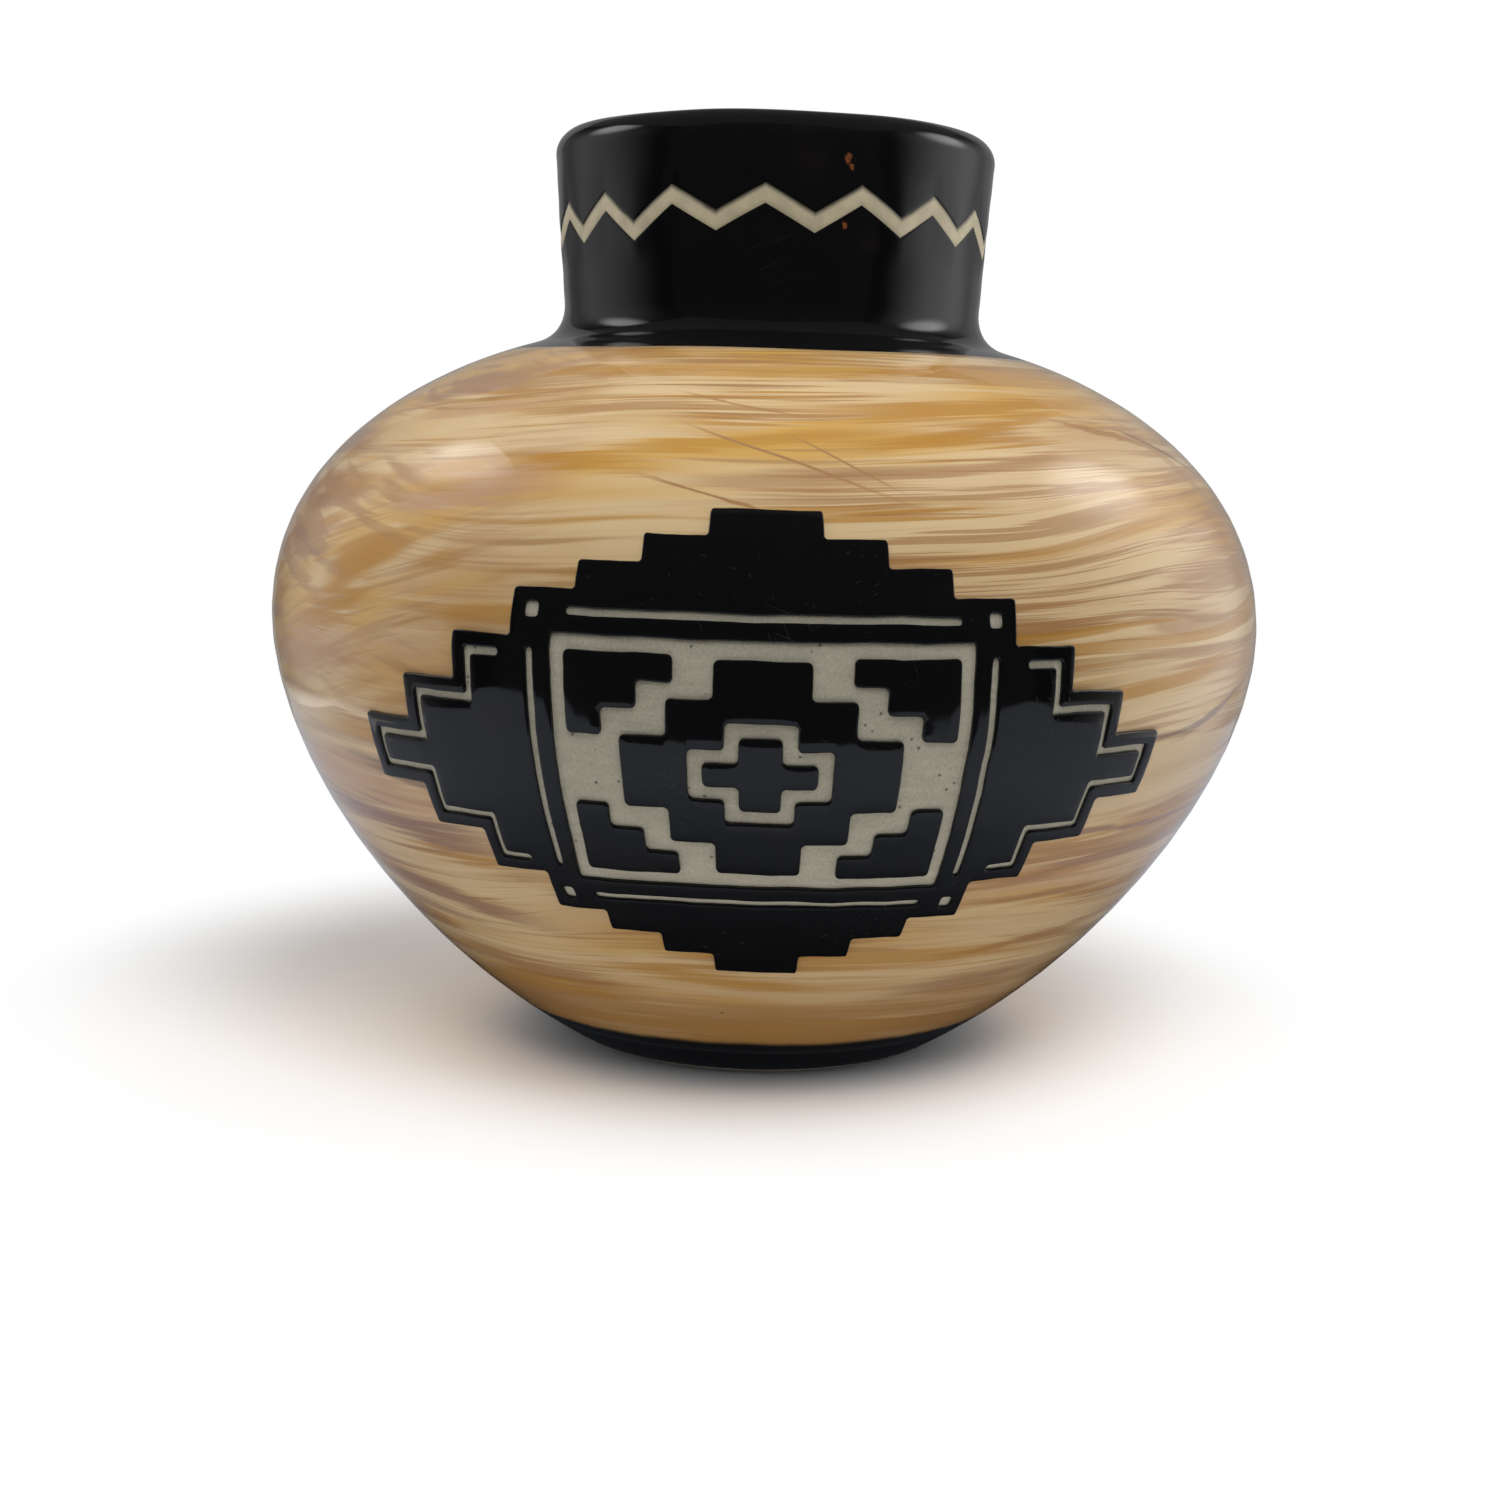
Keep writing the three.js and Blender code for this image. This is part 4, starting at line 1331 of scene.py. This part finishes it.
def raise_glaze(name, filled, bare=(), grooves=()):
    """A patch of raised glaze, still flat: cut out of a plane, thickened, raised and rounded."""
    m = settings("medallion")
    rectangles = [*filled, *bare, *grooves]
    left, right = min(r[0] for r in filled), max(r[1] for r in filled)
    low, high = min(r[2] for r in filled), max(r[3] for r in filled)
    deselect_all()
    bpy.ops.mesh.primitive_plane_add(size=1)
    piece = bpy.context.object
    piece.name = piece.data.name = name
    for vertex in piece.data.vertices:
        across = left if vertex.co.x < 0 else right
        vertex.co = (across, low if vertex.co.y < 0 else high, -SUNK)
    edit(piece)
    for axis, first, second in ((0, 0, 1), (1, 2, 3)):
        normal = (1, 0, 0) if axis == 0 else (0, 1, 0)
        for place in cut_lines([value for r in rectangles for value in (r[first], r[second])], m.facet):
            bpy.ops.mesh.select_all(action="SELECT")
            bpy.ops.mesh.bisect(plane_co=tuple(place * n for n in normal), plane_no=normal)

    def is_filled(face):
        return inside_any(filled, *face.center.xy) and not inside_any(bare, *face.center.xy)

    pick(piece, "FACE", lambda face: not is_filled(face))
    bpy.ops.mesh.delete(type="FACE")
    bpy.ops.mesh.select_all(action="SELECT")
    lift(SUNK + GROOVE_FLOOR)
    bpy.ops.mesh.select_all(action="SELECT")
    bpy.ops.mesh.normals_make_consistent(inside=False)

    def on_top(face):
        return face.normal.z > 0.5 and face.center.z > 0 and not inside_any(grooves, *face.center.xy)

    pick(piece, "FACE", on_top)
    lift(m.proud - GROOVE_FLOOR)

    def at_corner(first, second, normal, other):
        return (first.xy - second.xy).length < 1e-7 and normal.dot(other) < 0.3

    def on_rim(first, second, normal, other):
        side, up = sorted((normal.z, other.z))
        return min(first.z, second.z) > m.proud - 0.01 * MM and side < 0.5 < up

    round_edges(piece, m.corner_round, at_corner)
    round_edges(piece, m.edge_round, on_rim)
    tidy_mesh()
    done()
    return piece


def lift(distance):
    """Extrude the selected faces upwards."""
    bpy.ops.mesh.extrude_region_move(TRANSFORM_OT_translate={"value": (0, 0, distance)})


def side_normals(mesh):
    """The normals of the faces beside each edge."""
    beside = {}
    for face in mesh.polygons:
        for key in face.edge_keys:
            beside.setdefault(key, []).append(face.normal.copy())
    return beside


def round_edges(piece, radius, wanted):
    """Round the edges that "wanted" says yes to, by their ends and the normals of their two faces."""
    bpy.ops.mesh.select_all(action="DESELECT")
    done()
    beside = side_normals(piece.data)
    points = piece.data.vertices

    def chosen(edge):
        ends = [points[i].co for i in edge.vertices]
        return len(beside[edge.key]) == 2 and wanted(*ends, *beside[edge.key])

    bpy.ops.object.mode_set(mode="EDIT")
    pick(piece, "EDGE", chosen)
    bpy.ops.mesh.bevel(offset=radius, segments=3, affect="EDGES", clamp_overlap=True)


def lay_on_wall(piece, wall):
    """Wrap a flat patch onto the wall, with the wobble of a hand-cut edge."""
    m, pot = settings("medallion"), settings("pot")

    def place(point):
        broad, fine = (
            Vector((point.x / pitch, point.y / pitch, seed)) for pitch, seed in zip(WOBBLE_PITCH, (0.3, 5.1))
        )
        stray = noise.noise_vector(broad) * m.wobble + noise.noise_vector(fine) * m.wobble * FINE_WOBBLE
        across, up = point.x + stray.x, point.y + stray.y - m.drop
        out = point.z + (SWELL * noise.noise(broad * 1.3) if point.z > GROOVE_FLOOR else 0)
        radius, height = wall.at(up, out)
        azimuth = across / pot.belly_radius
        return Vector((radius * math.sin(azimuth), -radius * math.cos(azimuth), height))

    move_points(piece, place)
    move_points(piece, uneven)


def glaze_patch(name, node, filled, bare=(), grooves=()):
    """One raised piece of the medallion, in its place."""
    wall = Wall()
    piece = raise_glaze(name, filled, bare, grooves)
    floor = GROOVE_FLOOR + 0.01 * MM
    in_groove = [int(face.center.z < floor and face.normal.z > 0.5) for face in piece.data.polygons]
    lay_on_wall(piece, wall)
    colours = settings("colours")
    raised = bpy.data.materials.get("Raised glaze") or black_glaze("Raised glaze", proud=True)
    materials = [raised]
    if grooves:
        materials.append(bare_clay("Groove clay", colours.clay, 0.05))
    finish(piece, node, materials, (lambda face: in_groove[face.index]) if grooves else None)


class VASE_OT_medallion(bpy.types.Operator):
    """Medallion of raised black glaze: frame with wings and crests, diamond, cross and corners"""

    bl_idname = "vase.medallion"
    bl_label = "Medallion"

    def execute(self, context):
        m = settings("medallion")
        diamond = stepped_diamond(m.diamond_width, m.diamond_height, m.steps)
        heart = stepped_diamond(m.heart_width, m.heart_height, m.heart_steps)
        cross = stepped_diamond(m.heart_width, m.heart_height, m.heart_steps, m.heart_gap)
        glaze_patch("raised_frame", "glaze_field", field_outline(), [centred(*window())], field_grooves())
        glaze_patch("raised_diamond", "glaze_diamond", diamond, heart)
        glaze_patch("raised_cross", "glaze_cross", cross)
        for side_name, side in (("left", -1), ("right", 1)):
            for rise_name, rise in (("top", 1), ("bottom", -1)):
                corner = f"{rise_name}_{side_name}"
                glaze_patch(f"raised_corner_{corner}", f"glaze_corner_{corner}", corner_steps(side, rise))
        return {"FINISHED"}


# The stage


TENT = {  # wall: how much it lights the pot low down and high up, how bright it is mirrored, its soft patch
    "left": ((0.6, 1.7), 0.48, (-0.205, 0.037, 0.285)),
    "right": ((0.77, 1.9), 0.9, (0.205, 0.03, 0.25)),
    "back": ((0.7, 0.7), 0.27, None),
    "roof": ((1.5, 1.5), 0.1, None),
}
LIT_FADE = (90 * MM, 240 * MM)  # heights between which a wall goes from its low light to its high one
PATCH_REACH = (22 * MM, 80 * MM)
PATCH_GLOW = 2.2
FRONT_FADE = (-135 * MM, 5 * MM)  # the side walls grow dim towards the open front
BACK_FADE = (45 * MM, 165 * MM)  # and towards the back
BACK_SHARE = 0.33
TOP_FADE = (190 * MM, 320 * MM)  # and towards the roof
TOP_SHARE = 0.15
EDGE_LINE = ((-0.203, 0.26), (-0.203, 0.04), (-0.168, -0.04))  # a light strip on the floor by the left wall
EDGE_HEIGHT = 12 * MM
EDGE_GLOW = (1.3, 0.3)  # at the strip's foot and at its top
EDGE_FADE = (40 * MM, 240 * MM)  # it grows dim towards the back
EDGE_SHARE = 0.35

FLOOR_TONE = 0.8
FLOOR_GLOW = 0.25  # light that the floor passes on to the pot
SEEN_FLOOR = (1.35, 1.33, 1.315)  # so that the camera sees the lit floor nearly as bright as the background
SEEN_DEPTH = (-50 * MM, 60 * MM)  # painted shadow: the floor seen by the camera darkens from here to there, going back
DEPTH_SHARE = 0.5
SEEN_LEFT = (-95 * MM, -25 * MM)  # and from there to here, going left
LEFT_SHARE = 0.82
SEEN_MIDDLE = (-16 * MM, 26 * MM, 0)  # middle of the shadow
SEEN_FADE = (62 * MM, 122 * MM)  # distances from it between which the floor turns as white as the background
# painted reflection: the glaze mirrors the floor as a fixed glow of this colour
MIRRORED_FLOOR = (0.4, 0.43, 0.5, 1)
FOOT_SHADE = (55 * MM, 135 * MM)  # painted shade: the floor that the glaze mirrors glows dark near the foot
FOOT_SHARE = 0.03

KEY_SIZE = 260 * MM
KEY_PLACE = (11 * MM, -260 * MM, 300 * MM)
KEY_AIM = (0, 0, 70 * MM)
BACKGROUND_LIGHT = 0.03
CAMERA_SHIFT = -4.83 / 1512  # of the frame's width


def stage_plane(name, corners):
    """A flat sheet of the stage with its four corners."""
    deselect_all()
    bpy.ops.mesh.primitive_plane_add(size=1)
    sheet = bpy.context.object
    sheet.name = sheet.data.name = name
    for vertex in sheet.data.vertices:
        left, near = vertex.co.x < 0, vertex.co.y < 0
        vertex.co = corners[(0 if left else 1) if near else (3 if left else 2)]
    return sheet


def stage_material(name):
    """A material without a shader, its tree, and the socket that takes one."""
    material = bpy.data.materials.new(name)
    material.use_nodes = True
    nodes = material.node_tree.nodes
    nodes.remove(nodes["Principled BSDF"])
    return material, Tree(material.node_tree), nodes["Material Output"].inputs["Surface"]


def wall_glow(tree, place, bright, patch):
    """How bright the glaze mirrors a side wall: dim towards its ends, with one soft bright patch."""
    _, depth, height = tree.split(place)
    fade = tree.times(tree.step(depth, *FRONT_FADE), tree.step(depth, *BACK_FADE, 1.0, BACK_SHARE))
    fade = tree.times(fade, tree.step(height, *TOP_FADE, 1.0, TOP_SHARE))
    away = tree.vector("DISTANCE", place, patch, output="Value")
    return tree.times_plus(fade, bright, tree.step(away, *PATCH_REACH, PATCH_GLOW, 0.0))


def edge_glow(tree, place):
    """How bright the glaze mirrors the strip where the left wall meets the floor."""
    _, depth, height = tree.split(place)
    glow = tree.step(height, 0.0, EDGE_HEIGHT, *EDGE_GLOW)
    return tree.times(glow, tree.step(depth, *EDGE_FADE, 1.0, EDGE_SHARE))


def tent_cloth(name, lit=(0.0, 0.0), bright=None, patch=None):
    """White cloth that glows, more for light that spreads than for what the glaze mirrors.

    The strip by the floor, which is mirrored alone, gives no light and has no brightness of its own.
    """
    material, tree, surface = stage_material(name)
    place = tree.place()
    if bright is None:
        glow = edge_glow(tree, place)
    else:
        glow = wall_glow(tree, place, bright, patch) if patch else bright
    is_mirrored = tree.add("ShaderNodeLightPath").outputs["Is Glossy Ray"]
    lights = tree.step(tree.split(place)[2], *LIT_FADE, *lit)
    strength = tree.add("ShaderNodeMix", {0: is_mirrored, 2: lights, 3: glow}).outputs[0]
    tree.feed(surface, tree.add("ShaderNodeEmission", {"Strength": strength}).outputs[0])
    return material


def floor_material():
    """A pale matt floor. The camera sees it white, with the pot's soft shadow on it and painted shadow that
    darkens it towards the back and the left.
    """
    material, tree, surface = stage_material("Floor")
    rays = tree.add("ShaderNodeLightPath").outputs
    place = tree.place()
    x, y, _ = tree.split(place)
    matt = tree.add("ShaderNodeBsdfDiffuse", {"Color": (FLOOR_TONE, FLOOR_TONE, FLOOR_TONE, 1)}).outputs[0]
    glow = tree.add("ShaderNodeEmission", {"Strength": FLOOR_GLOW}).outputs[0]
    plain = tree.add("ShaderNodeAddShader", {0: matt, 1: glow}).outputs[0]

    # painted shadow: the camera's view of the floor darkens towards the back and the left
    back, left = tree.step(y, *SEEN_DEPTH, 1.0, DEPTH_SHARE), tree.step(x, *SEEN_LEFT, LEFT_SHARE, 1.0)
    painted_shadow = tree.times(back, left)
    tone = tree.vector("MULTIPLY", SEEN_FLOOR, tree.combine(painted_shadow, painted_shadow, painted_shadow))
    shaded = tree.add("ShaderNodeBsdfDiffuse", {"Color": tone}).outputs[0]
    white = tree.add("ShaderNodeEmission", {"Strength": 1.0}).outputs[0]
    beyond = tree.step(tree.vector("DISTANCE", place, SEEN_MIDDLE, output="Value"), *SEEN_FADE)
    seen = tree.add("ShaderNodeMixShader", {0: beyond, 1: shaded, 2: white}).outputs[0]

    # painted reflection and shade: for the glaze the floor is a glow, dimmer near the foot
    away = tree.vector("LENGTH", place, output="Value")
    values = {"Color": MIRRORED_FLOOR, "Strength": tree.step(away, *FOOT_SHADE, FOOT_SHARE, 1.0)}
    mirrored = tree.add("ShaderNodeEmission", values).outputs[0]
    mixed = tree.add("ShaderNodeMixShader", {0: rays["Is Camera Ray"], 1: plain, 2: seen}).outputs[0]
    mixed = tree.add("ShaderNodeMixShader", {0: rays["Is Glossy Ray"], 1: mixed, 2: mirrored}).outputs[0]
    tree.feed(surface, mixed)
    return material


class VASE_OT_stage(bpy.types.Operator):
    """Pale floor, soft light tent, white background and the camera"""

    bl_idname = "vase.stage"
    bl_label = "Stage"

    def execute(self, context):
        s = settings("stage")
        w, front, back, top = s.half_width, -s.front, s.back, s.tent_height
        floor = stage_plane("floor", [(-w, front, 0), (w, front, 0), (w, back, 0), (-w, back, 0)])
        floor.data.materials.append(floor_material())
        walls = {
            "left": [(-w, back, 0), (-w, front, 0), (-w, front, top), (-w, back, top)],
            "right": [(w, front, 0), (w, back, 0), (w, back, top), (w, front, top)],
            "back": [(w, back, 0), (-w, back, 0), (-w, back, top), (w, back, top)],
            "roof": [(-w, front, top), (w, front, top), (w, back, top), (-w, back, top)],
        }
        for name, corners in walls.items():
            sheet = stage_plane("tent_" + name, corners)
            sheet.visible_camera = sheet.visible_shadow = False
            sheet.data.materials.append(tent_cloth("Tent " + name, *TENT[name]))
        for i, ((x1, y1), (x2, y2)) in enumerate(zip(EDGE_LINE, EDGE_LINE[1:])):
            corners = [(x1, y1, 0), (x2, y2, 0), (x2, y2, EDGE_HEIGHT), (x1, y1, EDGE_HEIGHT)]
            strip = stage_plane(f"tent_edge_{i}", corners)
            strip.visible_camera = strip.visible_shadow = strip.visible_diffuse = False
            strip.data.materials.append(tent_cloth("Tent edge"))
        light_the_front()
        white_background()
        set_camera()
        return {"FINISHED"}


def into_scene(name, data):
    """A lamp or a camera as an object of the scene."""
    holder = bpy.data.objects.new(name, data)
    bpy.context.scene.collection.objects.link(holder)
    return holder


def light_the_front():
    """A soft round lamp above the front, which gives the key light."""
    lamp = bpy.data.lights.new("key_lamp", "AREA")
    lamp.shape = "DISK"
    lamp.size = KEY_SIZE
    lamp.energy = settings("stage").key_power
    holder = into_scene("key_lamp", lamp)
    holder.location = KEY_PLACE
    aim = Vector(KEY_AIM) - holder.location
    holder.rotation_euler = aim.to_track_quat("-Z", "Y").to_euler()
    holder.visible_glossy = False


def white_background():
    """White where the camera sees past the floor, and nearly dark for everything else."""
    scene = bpy.context.scene
    world = bpy.data.worlds.new("background")
    scene.world = world
    world.use_nodes = True
    tree = Tree(world.node_tree)
    backdrop = world.node_tree.nodes["Background"]
    seen = tree.add("ShaderNodeLightPath").outputs["Is Camera Ray"]
    tree.feed(backdrop.inputs["Color"], (1, 1, 1, 1))
    tree.feed(backdrop.inputs["Strength"], tree.step(seen, 0.0, 1.0, BACKGROUND_LIGHT, 1.0))
    scene.view_settings.view_transform = "Standard"


def set_camera():
    """The camera at the photograph's place."""
    s = settings("stage")
    camera = bpy.data.cameras.new("camera")
    camera.sensor_width = 36
    camera.lens = s.lens / MM
    camera.clip_start = 10 * MM
    camera.shift_x = CAMERA_SHIFT
    holder = into_scene("camera", camera)
    holder.matrix_world = (
        Matrix.Translation((0, -s.camera_away, s.camera_height))
        @ Matrix.Rotation(math.radians(90) - s.camera_pitch, 4, "X")
        @ Matrix.Rotation(s.camera_roll, 4, "Z")
    )
    bpy.context.scene.camera = holder


# The add-on


PARTS = {
    "pot": VasePot,
    "neck": VaseNeck,
    "medallion": VaseMedallion,
    "colours": VaseColours,
    "stage": VaseStage,
}
OPERATORS = (
    VASE_OT_stage,
    VASE_OT_foot_ring,
    VASE_OT_bowl,
    VASE_OT_shoulder,
    VASE_OT_neck,
    VASE_OT_zigzag,
    VASE_OT_medallion,
)


class VASE_PT_panel(bpy.types.Panel):
    """Sidebar panel with the vase's pieces and sizes"""

    bl_idname = "VASE_PT_panel"
    bl_label = "Pottery vase"
    bl_space_type = "VIEW_3D"
    bl_region_type = "UI"
    bl_category = "Vase"

    def draw(self, context):
        for operator in OPERATORS:
            self.layout.operator(operator.bl_idname)
        for part, group in PARTS.items():
            box = self.layout.box()
            box.label(text=part.capitalize())
            for name in group.__annotations__:
                box.prop(settings(part), name)


def register():
    """Register the property groups, the operators and the panel."""
    for part, group in PARTS.items():
        bpy.utils.register_class(group)
        setattr(bpy.types.Scene, "vase_" + part, PointerProperty(type=group))
    for operator in (*OPERATORS, VASE_PT_panel):
        bpy.utils.register_class(operator)


def unregister():
    """Take everything away again."""
    for operator in (VASE_PT_panel, *reversed(OPERATORS)):
        bpy.utils.unregister_class(operator)
    for part, group in PARTS.items():
        delattr(bpy.types.Scene, "vase_" + part)
        bpy.utils.unregister_class(group)


def main():
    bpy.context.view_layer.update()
    register()
    bpy.ops.vase.stage()
    bpy.ops.vase.foot_ring()
    bpy.ops.vase.bowl()
    bpy.ops.vase.shoulder()
    bpy.ops.vase.neck()
    bpy.ops.vase.zigzag()
    bpy.ops.vase.medallion()


if __name__ == "__main__":
    main()
